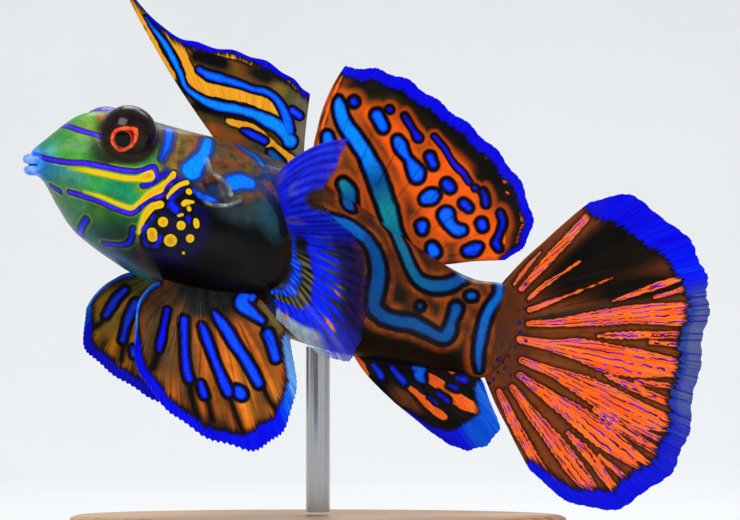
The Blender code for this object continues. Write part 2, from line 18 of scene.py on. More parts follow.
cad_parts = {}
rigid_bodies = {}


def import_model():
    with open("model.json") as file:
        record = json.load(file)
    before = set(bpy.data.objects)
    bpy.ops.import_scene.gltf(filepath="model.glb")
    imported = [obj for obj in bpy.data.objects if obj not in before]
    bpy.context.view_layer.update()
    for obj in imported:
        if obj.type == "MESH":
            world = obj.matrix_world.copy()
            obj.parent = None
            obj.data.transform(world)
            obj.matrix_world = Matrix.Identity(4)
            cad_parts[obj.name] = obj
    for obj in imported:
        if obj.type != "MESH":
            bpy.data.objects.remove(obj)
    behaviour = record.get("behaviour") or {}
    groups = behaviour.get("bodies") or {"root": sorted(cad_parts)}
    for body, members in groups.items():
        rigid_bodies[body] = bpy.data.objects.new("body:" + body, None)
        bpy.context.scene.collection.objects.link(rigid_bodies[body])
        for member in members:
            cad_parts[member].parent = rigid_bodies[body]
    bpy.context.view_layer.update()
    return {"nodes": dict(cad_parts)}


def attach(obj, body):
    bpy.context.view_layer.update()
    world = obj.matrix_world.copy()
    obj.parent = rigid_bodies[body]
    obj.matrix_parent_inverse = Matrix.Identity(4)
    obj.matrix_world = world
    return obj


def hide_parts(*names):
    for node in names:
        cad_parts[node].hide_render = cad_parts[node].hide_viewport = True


MM = 0.001
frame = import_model()
print("solids:", ", ".join(sorted(frame["nodes"])))

# %% [markdown]
# ## The side drawing
# The fish is set out on a side drawing in millimetres, x from the drawing's left edge and d down from its top.
# It bends in one arc, so the depth of its middle plane follows from x. The solids were made with the same few
# numbers, so what is placed here lands on them.

# %% The bend of the body and the way from the drawing to space and back
ROD_X, FLOOR_D = 31.8, 57.5
VIEW_DISTANCE, VIEW_X, VIEW_D = 800.0, 37.0, 26.0
SNOUT_X, SNOUT_SLOPE, STRAIGHTENING = 3.0, 0.445, 0.0084


def bend(x):
    def run(at):
        return SNOUT_SLOPE * (at - SNOUT_X) - STRAIGHTENING / 2 * (at - SNOUT_X) ** 2
    return run(x) - run(ROD_X)


def unit(vectors):
    return vectors / np.maximum(np.linalg.norm(vectors, axis=-1, keepdims=True), 1e-9)


def sideways(x):
    """Out from the middle plane to the fish's left, the side that faces the eye."""
    slope = SNOUT_SLOPE - STRAIGHTENING * (np.asarray(x, float) - SNOUT_X)
    return unit(np.stack([slope, -np.ones_like(slope), np.zeros_like(slope)], -1))


def place(x, d, y):
    x, d, y = np.broadcast_arrays(*(np.asarray(value, float) for value in (x, d, y)))
    share = 1.0 + y / VIEW_DISTANCE
    return np.stack([VIEW_X + (x - VIEW_X) * share - ROD_X, y,
                     FLOOR_D - VIEW_D - (d - VIEW_D) * share], -1)


def on_drawing(points):
    """Where points of space lie on the drawing, in tenths of a millimetre."""
    share = 1.0 + points[..., 1] / VIEW_DISTANCE
    x = VIEW_X + (points[..., 0] + ROD_X - VIEW_X) / share
    d = VIEW_D + (FLOOR_D - VIEW_D - points[..., 2]) / share
    return 10 * x, 10 * d


def smooth_step(a, b, value):
    t = np.clip((value - a) / (b - a), 0.0, 1.0)
    return t * t * (3.0 - 2.0 * t)


def along(rows, at):
    """The smooth curve through rows of numbers, at places counted in rows."""
    rows, at = np.asarray(rows, float), np.asarray(at, float)
    last = len(rows) - 1
    k = np.clip(np.floor(at).astype(int), 0, last - 1)
    t = (at - k)[..., None]
    p1, p2 = rows[k], rows[k + 1]
    p0 = np.where((k > 0)[..., None], rows[np.maximum(k - 1, 0)], 2 * p1 - p2)
    p3 = np.where((k + 2 <= last)[..., None], rows[np.minimum(k + 2, last)], 2 * p2 - p1)
    return 0.5 * (2 * p1 + (p2 - p0) * t + (2 * p0 - 5 * p1 + 4 * p2 - p3) * t ** 2
                  + (3 * p1 - p0 - 3 * p2 + p3) * t ** 3)


print("middle plane at snout, rod and tail:", [round(float(bend(x)), 1) for x in (SNOUT_X, ROD_X, 71)])

# %% [markdown]
# ## Camera
# A long lens far away keeps the small fish free of distortion. The camera looks level, straight at the middle of
# the drawing, and frames it exactly.

# %% Camera


def show(name, data):
    """A new object in the scene that shows a mesh, a light or a camera."""
    shown = bpy.data.objects.new(name, data)
    bpy.context.scene.collection.objects.link(shown)
    return shown


EYE = np.array([VIEW_X - ROD_X, -VIEW_DISTANCE, FLOOR_D - VIEW_D])
FRAME_WIDTH = 74.0
camera_data = bpy.data.cameras.new("camera")
camera_data.sensor_width = 36.0
camera_data.lens = 36.0 * VIEW_DISTANCE / FRAME_WIDTH
camera_data.clip_start, camera_data.clip_end = 0.01, 20.0
camera = show("camera", camera_data)
camera.location = EYE * MM
camera.rotation_euler = (math.radians(90), 0, 0)
bpy.context.scene.camera = camera
bpy.context.scene.view_settings.view_transform = "Standard"
print("lens", round(camera_data.lens), "mm")

# %% [markdown]
# ## Helpers for meshes
# A surface that is a net of rows and columns is quick to make with numpy: its points come from a formula, and
# its faces join neighbours. Numbers that the materials read are stored on the points as attributes.

# %% Mesh helpers


def store(mesh, key, values):
    """One number, or one colour, on each point of a mesh."""
    values = np.asarray(values, np.float32)
    if values.ndim == 2:
        values = np.column_stack([values, np.ones(len(values), np.float32)])
        mesh.attributes.new(key, "FLOAT_COLOR", "POINT").data.foreach_set("color", values.ravel())
    else:
        mesh.attributes.new(key, "FLOAT", "POINT").data.foreach_set("value", values)


def face_outwards(mesh):
    shape = bmesh.new()
    shape.from_mesh(mesh)
    if shape.calc_volume(signed=True) < 0:
        bmesh.ops.reverse_faces(shape, faces=shape.faces)
        shape.to_mesh(mesh)
    shape.free()


def make_piece(name, points, faces, attributes):
    """A smooth mesh object in metres, from points in millimetres, with the numbers and colours of each point."""
    mesh = bpy.data.meshes.new(name)
    mesh.from_pydata((points * MM).tolist(), [], faces)
    for key, values in attributes.items():
        store(mesh, key, values)
    face_outwards(mesh)
    mesh.shade_smooth()
    return show(name, mesh)


def triangles(piece):
    return sum(len(face.vertices) - 2 for face in piece.data.polygons)


def net_faces(rows, columns, closed_round=False):
    """Quads of a net whose points run row by row."""
    r = np.arange(rows - 1)[:, None]
    c = np.arange(columns if closed_round else columns - 1)[None, :]
    n = (c + 1) % columns
    return np.stack([r * columns + c, r * columns + n, (r + 1) * columns + n,
                     (r + 1) * columns + c], -1).reshape(-1, 4)


def tube_faces(rows, spokes):
    """Faces of a net that closes round and has a lid on each end."""
    last = (rows - 1) * spokes
    return [*net_faces(rows, spokes, True).tolist(), list(range(spokes))[::-1], list(range(last, last + spokes))]


def tree_over(net, closed_round=False):
    """What rays are cast at and nearest places are looked up in, for a net of points."""
    return BVHTree.FromPolygons(net.reshape(-1, 3).tolist(), net_faces(*net.shape[:2], closed_round).tolist())


def net_normals(points):
    """Normals of a net of points (rows, columns, 3)."""
    down = np.gradient(points, axis=0)
    across = np.gradient(points, axis=1)
    return unit(np.cross(across, down))


# %% [markdown]
# ## Strokes
# Each marking is a stroke: points on the drawing with the half width there. A stroke is thrown from the eye onto
# the surface, so it becomes a line in space, and each point of the skin then knows how far it is from the edge of
# the nearest stroke. The material cuts that distance into core, outline and rim, so edges stay sharp however
# close one looks. On the body the same strokes are mirrored to the side that the drawing doesn't show.

# %% Stroke tools
STROKE_STEP = 0.1
FAR_AWAY, BATCH = 9.0, 4000


def smooth_line(points):
    """Points of a stroke, close together on a smooth curve. Each is x, d and width in tenths of a millimetre."""
    points = np.asarray(points, float)
    if len(points) == 1:
        return points
    length = np.linalg.norm(np.diff(points[:, :2], axis=0), axis=1).sum() / 10
    at = np.linspace(0, len(points) - 1, max(2, int(length / STROKE_STEP) + 1))
    return along(points, at)


def throw(tree, x, d, fallback_y):
    """Where the line from the eye through a point of the drawing meets a surface."""
    target = place(x / 10, d / 10, 0.0)
    hit = tree.ray_cast(Vector(EYE), Vector(unit(target - EYE)))[0]
    return np.array(hit or tree.find_nearest(Vector(place(x / 10, d / 10, fallback_y)))[0])


def strokes_on(tree, strokes, fallback_y=0.0):
    """All strokes as rows of x, y, z, half width and tint, in millimetres. A pair of tints runs along its stroke."""
    rows = []
    for *tint, width, points in strokes:
        line = smooth_line([(*p, width) if len(p) == 2 else p for p in points])
        first, last = np.broadcast_to(tint[0] if tint else 0.0, 2)
        rows += [[*throw(tree, x, d, fallback_y), wide / 20, own_tint]
                 for (x, d, wide), own_tint in zip(line, np.linspace(first, last, len(line)))]
    return np.array(rows)


def distance_to(points, rows):
    """How far points are outside the nearest stroke (negative inside), and that stroke's tint."""
    found, tint = np.full(len(points), FAR_AWAY), np.zeros(len(points))
    if len(rows) == 0:
        return found, tint
    for start in range(0, len(points), BATCH):
        part = points[start:start + BATCH]
        square = ((part ** 2).sum(1)[:, None] + (rows[:, :3] ** 2).sum(1)[None, :]
                  - 2 * part @ rows[:, :3].T)
        outside = np.sqrt(np.maximum(square, 0.0)) - rows[None, :, 3]
        best = outside.argmin(1)
        found[start:start + BATCH] = outside[np.arange(len(part)), best]
        tint[start:start + BATCH] = rows[best, 4]
    return np.minimum(found, FAR_AWAY), tint


# %% [markdown]
# ## The body's shape
# The skin is a net of rings, like the hoops of a barrel. Each ring stands between a back point and a belly point
# of the drawing, with a half width. The first rings start deep in the mouth, roll out over the lips and only
# then run back over the head, so that mouth, lips and cheeks are one surface. The eyes' collars are added by
# pushing each point out along its own spoke until it meets a softly joined ball.

# %% Rings of the body
# Each ring: back x and d, belly x and d, half width, how low its widest place lies, how far its sides sweep back
RINGS = (
    (4.10, 16.42, 4.10, 16.52, 0.08, 0.00, 0.0),
    (3.70, 16.40, 3.70, 16.56, 0.60, 0.00, 0.2),
    (3.00, 16.40, 3.00, 16.56, 0.86, 0.00, 0.6),
    (2.64, 16.36, 2.70, 16.60, 0.96, 0.00, 0.8),
    (2.38, 16.10, 2.44, 16.84, 1.14, 0.00, 0.95),
    (2.42, 15.66, 2.52, 17.24, 1.40, 0.00, 1.0),
    (2.80, 15.40, 2.88, 17.52, 1.58, 0.00, 1.0),
    (3.16, 15.46, 3.34, 17.56, 1.60, 0.00, 0.95),
    (3.22, 15.12, 3.74, 17.62, 1.66, 0.03, 0.9),
    (3.70, 14.66, 4.40, 18.05, 2.05, 0.06, 0.5),
    (4.8, 13.8, 5.3, 19.2, 2.60, 0.08, 0.1),
    (6.3, 12.6, 6.4, 21.1, 3.70, 0.12, 0.0),
    (8.0, 11.5, 7.8, 23.2, 4.70, 0.15, 0.0),
    (10.0, 11.1, 9.4, 24.6, 5.55, 0.17, 0.0),
    (12.6, 11.2, 11.6, 26.2, 6.20, 0.18, 0.0),
    (15.6, 12.2, 14.2, 27.8, 6.80, 0.18, 0.0),
    (18.8, 13.1, 17.0, 29.0, 7.15, 0.17, 0.0),
    (22.0, 13.9, 19.8, 30.2, 7.30, 0.15, 0.0),
    (25.4, 15.0, 22.8, 31.4, 7.10, 0.13, 0.0),
    (28.8, 16.5, 26.0, 32.7, 6.65, 0.11, 0.0),
    (32.4, 18.4, 29.4, 34.0, 6.00, 0.10, 0.0),
    (36.4, 20.9, 33.4, 35.2, 5.20, 0.08, 0.0),
    (40.4, 23.7, 37.8, 36.1, 4.40, 0.05, 0.0),
    (44.2, 26.3, 42.0, 36.8, 3.60, 0.02, 0.0),
    (47.4, 27.9, 45.6, 37.3, 2.95, 0.00, 0.0),
    (50.0, 28.3, 48.0, 37.8, 2.10, 0.00, 0.0),
    (51.6, 29.0, 49.8, 37.2, 1.35, 0.00, 0.0),
    (52.6, 30.8, 51.6, 35.6, 0.62, 0.00, 0.0),
    (52.8, 33.0, 52.7, 33.6, 0.10, 0.00, 0.0),
)
SPOKES = 232
RING_SPACING = 0.16

EYE_X, EYE_D, EYE_OFF, EYE_RADIUS = 11.7, 13.5, 3.5, 2.9
COLLAR_RADIUS, COLLAR_SINK, COLLAR_BLEND, COLLAR_REACH = 2.98, 0.62, 0.7, 6.5
# The search for a collar's surface: how far out it starts, its steps, and the share of the way that each one goes
SEARCH_FROM, SEARCH_STEPS, SEARCH_SHARE = 4.5, 60, 0.7


def eye_centre(side):
    return place(EYE_X, EYE_D, bend(EYE_X)) + sideways(EYE_X) * EYE_OFF * side


def ring_spokes(at, turn):
    """Middle of the ring and the way out to the skin, at a ring count and a turn from the back."""
    row = along(RINGS, at)
    back = place(row[..., 0], row[..., 1], bend(row[..., 0]))
    belly = place(row[..., 2], row[..., 3], bend(row[..., 2]))
    up = np.cos(turn)[..., None]
    wide = (np.maximum(row[..., 4], 0.03) * np.sin(turn) * (1.0 - row[..., 5] * np.cos(turn)))[..., None]
    side = sideways((row[..., 0] + row[..., 2]) / 2)
    tailwards = np.stack([-side[..., 1], side[..., 0], 0 * side[..., 0]], -1)
    swept = (np.maximum(row[..., 6], 0.0) * np.sin(turn) ** 2)[..., None]
    return (back + belly) / 2, (back - belly) / 2 * up + side * wide + tailwards * swept


def softly_joined(a, b, blend):
    """The smaller of two distances, rounded where they meet."""
    mix = np.clip(0.5 + 0.5 * (b - a) / blend, 0.0, 1.0)
    return b * (1 - mix) + a * mix - blend * mix * (1 - mix)


def ring_places():
    """Ring counts so that rings lie evenly close, closer where the mouth folds."""
    rows = np.array(RINGS)
    places = [0.0]
    for k in range(len(rows) - 1):
        step = np.abs(rows[k + 1] - rows[k])
        reach = max(math.hypot(step[0], step[1]), math.hypot(step[2], step[3]), step[4])
        count = max(4, math.ceil(reach / RING_SPACING))
        places += [k + (n + 1) / count for n in range(count)]
    return np.array(places)


def body_net():
    at, turn = np.meshgrid(ring_places(), np.linspace(0, 2 * np.pi, SPOKES, endpoint=False), indexing="ij")
    middle, spoke = ring_spokes(at, turn)
    base = np.linalg.norm(spoke, axis=-1)
    way = unit(spoke)
    reach = base.copy()
    for side in (1, -1):
        centre = eye_centre(side) + unit(sideways(EYE_X) * -side + np.array([0, 0, -0.9])) * COLLAR_SINK
        near = np.linalg.norm(middle + spoke - centre, axis=-1) < COLLAR_REACH
        far = base + SEARCH_FROM
        for _ in range(SEARCH_STEPS):
            ball = np.linalg.norm(middle + way * far[..., None] - centre, axis=-1) - COLLAR_RADIUS
            far = far - SEARCH_SHARE * softly_joined(far - base, ball, COLLAR_BLEND)
        reach = np.where(near, np.maximum(reach, far), reach)
    return at, turn, middle + way * reach[..., None]


ring_at, ring_turn, skin_points = body_net()
print("skin net:", ring_at.shape, "faces", 2 * ring_at.size)

# %% [markdown]
# ## Small forms on the skin
# Three small things break the smooth flank: the rim of the gill opening, the pit behind it, and the nostril's
# little tube. They are pushed out of the net or pressed into it along the point's normal, each with a soft
# round falloff, and the far side takes the same push, point for point.

# %% Gill openings, nostrils and the fleshy bases of the pectoral fins
HALF = SPOKES // 2 + 1
near_side = skin_points[:, :HALF]
skin_tree = tree_over(skin_points, True)
GILL_RIMS = ((3.4, ((207, 160), (209, 166), (212, 173), (220, 179), (228, 187), (231, 194))),
             (3.4, ((206, 203), (214, 205.5), (224, 205.5), (233, 204), (240, 201))))
GILL_PIT = ((9.0, ((212, 184), (219, 193), (226, 198))),)
NOSTRIL = ((2.0, ((69, 136.6),)),)
NOSTRIL_PIT = ((0.6, ((68.6, 136.2),)),)
PECTORAL_BASE = ((22.0, ((268, 208), (272, 232), (270, 252), (262, 272))),)


def swell(points, strokes, height, softness):
    """How far to push each point out: height on the stroke, falling off softly beside it."""
    away, _ = distance_to(points.reshape(-1, 3), strokes_on(skin_tree, strokes))
    return (height * np.exp(-(np.maximum(away, 0) / softness) ** 2)).reshape(points.shape[:2])


def both_sides(near):
    """Values of the near half of the rings, mirrored to the far half."""
    return np.concatenate([near, near[:, 1:HALF - 1][:, ::-1]], 1)


push = (swell(near_side, GILL_RIMS, 0.22, 0.16) - swell(near_side, GILL_PIT, 0.30, 0.30)
        + swell(near_side, NOSTRIL, 0.20, 0.12) - swell(near_side, NOSTRIL_PIT, 0.34, 0.10)
        + swell(near_side, PECTORAL_BASE, 0.34, 1.4))
wrapped = np.concatenate([skin_points[:, -1:], skin_points, skin_points[:, :1]], 1)
skin_normals = net_normals(wrapped)[:, 1:-1]
outwards = (skin_normals * (skin_points - skin_points.mean(1, keepdims=True))).sum(-1).mean()
skin_points = skin_points + skin_normals * np.sign(outwards) * both_sides(push)[..., None]
near_side = skin_points[:, :HALF]
print("pushed by", round(float(push.min()), 2), "to", round(float(push.max()), 2), "mm")

# %% [markdown]
# ## The body's markings
# The strokes below name the fish's own lines: on the head thin violet lines with a yellow edge, on the gill
# cover a navy field with gold spots, behind it broad azure bands on an earthy ground. A stroke is a tint, if it
# needs one, a width and its points, and a point may carry a width of its own.

# %% Body strokes
# Tints run from violet, 0, to teal, 1, and a number between two names is a mixture
VIOLET, ULTRAMARINE, BLUE, AZURE = 0.0, 0.25, 0.5, 0.75
HEAD_LINES = (
    (VIOLET, 5.5, ((31, 153, 4.5), (44, 158, 4.5), (53, 160, 5), (69, 162.5), (84, 163), (99, 166, 6),
        (112, 168.5, 6), (122.5, 170.5, 6), (133.5, 171.5, 6), (141.5, 170.5), (150, 167.5), (154.5, 167),
        (156, 172, 5), (158, 177.5, 5))),
    (0.15, 6, ((167.5, 171.5, 5.5), (157.5, 179.5), (152.5, 184, 5.5), (143, 185.5))),
    (0.05, 5.5, ((69, 192, 6), (84, 196.5), (99.5, 201.5), (115, 208.5), (128.5, 213), (134.5, 212),
        (142, 206), (153, 199), (162.5, 195, 6), (167, 188), (172.5, 182, 6), (179.5, 177.5))),
    (VIOLET, 6, ((61, 126), (69, 126.5), (76, 129), (84, 131.5), (92, 133.5, 5.5), (102, 137, 5))),
    (0.45, 5.5, ((52, 186.5), (59.5, 191))),
    (0.3, 7, ((86.5, 219, 6), (81.5, 228), (80, 237, 8))),
    (0.3, 5.5, ((104.5, 243.5, 6), (119.5, 245), (128.5, 243), (132, 236, 5), (133, 228.5, 5))),
    (0.3, 5, ((153, 283.5), (167, 286.5))),
    (0.3, 5.5, ((154, 215.5), (149.5, 223), (143.5, 229), (144, 239), (148, 245.5, 7))),
    (0.3, 8.5, ((184, 188.5, 5.5), (175, 195.5, 8), (170.5, 204, 9.5), (177.5, 210.5, 9.5))),
    (0.3, 6.5, ((188, 217.5, 7.5), (188.5, 222.5, 5.5))),
    (0.3, 6.5, ((160.5, 235.5, 5.5), (158, 244.5), (153, 246.5))),
)
BODY_LINES = (
    (0.6, 9, ((169.5, 130, 11), (167.5, 145), (161, 159, 5.5))),
    (AZURE, 16, ((208, 140, 12.5), (204.5, 152.5, 14), (196, 164, 18), (191.5, 170.5, 23))),
    (0.66, 19, ((233, 183), (241, 181.5, 19.5), (249, 183, 16.5))),
    (0.62, 7, ((194, 190, 5), (202, 197, 9.5), (211, 199.5, 9), (220, 200, 4.5))),
    (0.4, 5, ((213.5, 188.5, 4), (215.5, 190, 6.5))),
    (0.83, 8, ((233.5, 141, 7), (244.5, 150, 7), (255, 156, 10), (263, 165.5, 8.5))),
    (0.95, 4, ((262, 190), (272, 204), (279, 216), (282, 232))),
    ((0.97, 0.87), 14, ((392.5, 220, 16), (395.5, 231.5, 16), (403, 248.5, 14.5), (411.5, 268.5, 13),
        (420.5, 281, 13.5), (435.5, 286, 15), (452, 283.5), (465.5, 274, 11))),
    (0.87, 15.5, ((347.5, 199, 15), (348.5, 205.5, 16))),
    ((0.76, 0.84), 18, ((287, 210.5), (302.5, 211.5), (317, 215), (331, 222), (350, 227, 17),
        (363, 236, 15))),
    (0.88, 15, ((366, 238, 14.5), (374.5, 252.5, 15.5), (378.5, 270, 17.5), (376.5, 289, 17), (374, 306),
        (382.5, 316, 14))),
    (0.87, 13, ((383, 317, 13.5), (398.5, 321.5, 14), (413.5, 323.5, 14.5), (429, 331.5, 12),
        (443, 337.5, 12), (448.5, 332.5, 14), (452, 321, 10), (456.5, 308.5))),
    (0.85, 9.5, ((470, 296), (472.5, 295.5))),
    (0.9, 7.5, ((420, 306),)),
    (0.84, 10.5, ((500, 284, 10), (498.5, 296.5), (489.5, 309, 11), (484, 324, 12), (480, 342.5, 11),
        (478.5, 358, 9), (479.5, 370.5, 5))),
)
PEDUNCLE_DOTS = tuple((0.05, 3.4, ((x, y),)) for x, y in (
    (513, 312), (519, 323), (517, 317), (507, 330), (511, 339), (503, 345), (508, 356), (499, 359), (504, 368),
    (497, 372), (520, 332), (515, 347), (487, 384), (493, 379), (524, 309), (526, 341), (510, 375), (504, 388)))
GOLD_LINES = (
    (5, ((67.5, 168.5, 3), (84, 170, 4.5), (107, 174.5), (124, 178), (138, 178.5, 5.5),
        (148.5, 176, 10.5), (150.5, 174, 7.5))),
    (5, ((174, 173), (170, 180, 7), (162.5, 187.5, 8), (149.5, 194.5, 7.5), (140.5, 202.5, 5.5),
        (132, 208), (118, 204, 4), (100, 196.5, 3), (84, 191.5, 1.5))),
    (5, ((169.5, 197, 6.5), (172.5, 191, 4.5), (178.5, 185.5, 4.5), (187, 182.5))),
    (7, ((160.5, 204.5, 7.5), (152.5, 207), (146.5, 213.5), (142, 222.5, 5), (139, 233, 3.5))),
    (10, ((163, 222),)),
    (9, ((181, 225.5),)),
    (9.5, ((152, 232.5, 10), (152.5, 237.5))),
    (13, ((170.5, 240.5),)),
    (8.5, ((190, 238.5),)),
    (5.5, ((196, 221), (196.5, 225.5, 6))),
    (3, ((178.5, 215.5), (182.5, 214.5))),
    (6.5, ((189, 191.5),)),
    (5, ((183.5, 204), (186.5, 202, 5.5), (193, 202, 3))),
    (5, ((189, 209),)),
    (3.5, ((183.5, 253),)),
)
SKIN_DOTS = tuple(dot for dot in PEDUNCLE_DOTS if dot[2][0][0] < 508 and dot[2][0][1] < 362)
blue_rows = strokes_on(skin_tree, HEAD_LINES + BODY_LINES + SKIN_DOTS)
gold_rows = strokes_on(skin_tree, GOLD_LINES)
print("stroke points on the body:", len(blue_rows) + len(gold_rows))

# %% [markdown]
# Under the strokes lies the ground colour, which changes softly: green on the head, brown behind it and nearly
# black on the chest. It is laid on like washes of paint, each a soft oval on the side drawing.

# %% The body's ground colour


def linear(colour):
    """Colours picked as 0 to 255 on a screen, made linear for the shader."""
    share = np.asarray(colour, float) / 255
    return np.where(share <= 0.04045, share / 12.92, ((share + 0.055) / 1.055) ** 2.4)


def washes(x, y, ground, ovals):
    """A ground colour with soft ovals laid over it: middle x and y, half sizes, tilt, softness, colour."""
    colour = np.broadcast_to(linear(ground), (*x.shape, 3)).copy()
    for cx, cy, wide, tall, tilt, soft, paint in ovals:
        a = math.radians(tilt)
        across = (x - cx) * math.cos(a) + (y - cy) * math.sin(a)
        down = (y - cy) * math.cos(a) - (x - cx) * math.sin(a)
        share = smooth_step(1 + soft, 1 - soft, np.hypot(across / wide, down / tall))[..., None]
        colour = colour * (1 - share) + linear(paint) * share
    return colour


BODY_GROUND = (84, 42, 12)
BODY_WASHES = (
    (232, 160, 70, 44, 10, 0.35, (96, 82, 54)),
    (180, 148, 12, 32, 14, 0.5, (150, 128, 44)),
    (183, 150, 5, 14, 14, 0.6, (112, 92, 42)),
    (196, 138, 7, 18, 14, 0.6, (150, 96, 54)),
    (165, 150, 7, 30, 10, 0.5, (110, 104, 76)),
    (216, 164, 8, 7, 30, 0.7, (140, 90, 50)),
    (241, 141, 9, 6, 12, 0.6, (156, 78, 26)),
    (228, 166, 14, 6, 10, 0.6, (92, 62, 36)),
    (240, 152, 12, 7, 30, 0.7, (84, 66, 40)),
    (262, 170, 12, 18, -40, 0.6, (92, 84, 40)),
    (203, 178, 10, 16, -20, 0.6, (24, 56, 110)),
    (213, 186, 16, 8, 12, 0.5, (12, 22, 52)),
    (216, 181, 8, 5, 40, 0.6, (14, 12, 18)),
    (229, 194, 12, 8, 10, 0.6, (66, 84, 104)),
    (246, 197, 20, 8, 12, 0.5, (110, 92, 68)),
    (263, 184, 8, 22, -14, 0.6, (28, 60, 74)),
    (266, 252, 26, 70, 0, 0.35, (32, 38, 20)),
    (216, 262, 74, 60, 8, 0.16, (2, 3, 3)),
    # Painted sheen: a blue-grey patch laid on the black chest behind the gill
    (244, 211, 24, 12, 12, 0.7, (46, 60, 70)),
    (268, 212, 11, 26, -18, 0.6, (38, 74, 86)),
    (270, 182, 9, 20, -10, 0.7, (16, 56, 132)),
    (272, 318, 9, 20, 8, 0.7, (36, 66, 132)),
    (205, 290, 60, 18, 4, 0.5, (4, 4, 4)),
    (330, 296, 40, 54, -40, 0.5, (44, 26, 10)),
    (395, 297, 15, 11, 20, 0.6, (26, 24, 8)),
    (430, 306, 14, 8, -10, 0.6, (44, 28, 8)),
    (396, 334, 80, 18, 10, 0.5, (40, 26, 10)),
    (408, 356, 84, 20, 12, 0.4, (14, 10, 5)),
    (512, 330, 26, 60, 0, 0.4, (92, 44, 16)),
)
HEAD_WASHES = (
    (84, 146, 34, 16, -28, 0.5, (70, 160, 56)),
    (92, 126, 18, 10, -20, 0.6, (124, 172, 72)),
    (44, 152, 16, 9, -40, 0.6, (62, 156, 128)),
    (34, 168, 22, 18, 0, 0.5, (44, 136, 226)),
    (58, 175, 15, 9, 14, 0.6, (18, 124, 156)),
    (74, 180, 16, 8, 14, 0.6, (62, 152, 140)),
    (104, 189, 22, 10, 12, 0.5, (58, 176, 86)),
    (130, 193, 24, 14, 8, 0.5, (28, 150, 100)),
    (112, 116, 26, 14, 0, 0.6, (120, 176, 50)),
    # Painted shade: a dark olive oval along the left of the eye's bulge
    (103, 132, 9, 26, 6, 0.7, (64, 76, 30)),
    (101, 117, 4, 3.5, 0, 0.6, (176, 92, 34)),
    (99, 138.5, 4, 3, 0, 0.6, (168, 84, 40)),
    # Painted shade: a dark oval below and left of the eye's bulge
    (108, 152, 18, 18, 0, 0.6, (30, 52, 24)),
    (108, 222, 44, 24, 30, 0.5, (30, 104, 46)),
    (70, 204, 20, 30, -24, 0.5, (62, 128, 84)),
    (96, 214, 12, 10, 20, 0.6, (56, 110, 44)),
    (112, 252, 40, 20, 38, 0.5, (24, 66, 66)),
    (128, 240, 22, 20, 30, 0.6, (14, 54, 38)),
    (140, 264, 20, 16, 30, 0.5, (8, 22, 34)),
    (117, 261, 34, 7, 34, 0.6, (12, 78, 122)),
    (92, 240, 15, 7, 52, 0.6, (30, 92, 92)),
    (140, 276, 14, 5, 24, 0.6, (16, 84, 84)),
    (141, 190, 8, 6, 20, 0.6, (84, 148, 36)),
)
HEAD_EDGE_Y = (96, 130, 150, 166, 180, 194, 206, 216, 232, 250, 276, 300)
HEAD_EDGE_X = (160, 160, 158, 160, 166, 160, 152, 146, 142, 138, 152, 158)


def body_colours(x, y):
    ground = washes(x, y, BODY_GROUND, BODY_WASHES)
    navy = smooth_step(1.25, 0.8, np.hypot((x - 172) / 36, (y - 222) / 40))[..., None]
    ground = ground * (1 - navy) + linear((9, 3, 60)) * navy
    head = smooth_step(5, -5, x - np.interp(y, HEAD_EDGE_Y, HEAD_EDGE_X))
    green = washes(x, y, (70, 146, 76), HEAD_WASHES)
    return ground * (1 - head[..., None]) + green * head[..., None], head


near_x, near_y = on_drawing(near_side)
near_flat = near_side.reshape(-1, 3)
blue_mm, blue_tint = (v.reshape(near_x.shape) for v in distance_to(near_flat, blue_rows))
gold_mm = distance_to(near_flat, gold_rows)[0].reshape(near_x.shape)
pale_mm = distance_to(near_flat, strokes_on(skin_tree, GILL_RIMS))[0].reshape(near_x.shape)
ground, head_share = body_colours(near_x, near_y)
lips = smooth_step(4.4, 3.3, near_x / 10) * smooth_step(9.6, 7.5, ring_at[:, :HALF])
mouth_hole = smooth_step(2.9, 1.9, ring_at[:, :HALF])
eye_dark = smooth_step(32.5, 26.5, np.hypot(near_x - 130.5, near_y - 135.5)) * smooth_step(-1.0, 0.6, (
    (near_side - place(EYE_X, EYE_D, bend(EYE_X))) @ sideways(EYE_X)) - 1.6)
print("skin numbers done for", near_x.size, "points a side")

# %% [markdown]
# ## Nodes in few words
# A shader is a net of small nodes. This little helper adds them one call at a time and takes either a number or
# another node's socket for every input, so that a material reads from top to bottom like a recipe.

# %% Wiring helper


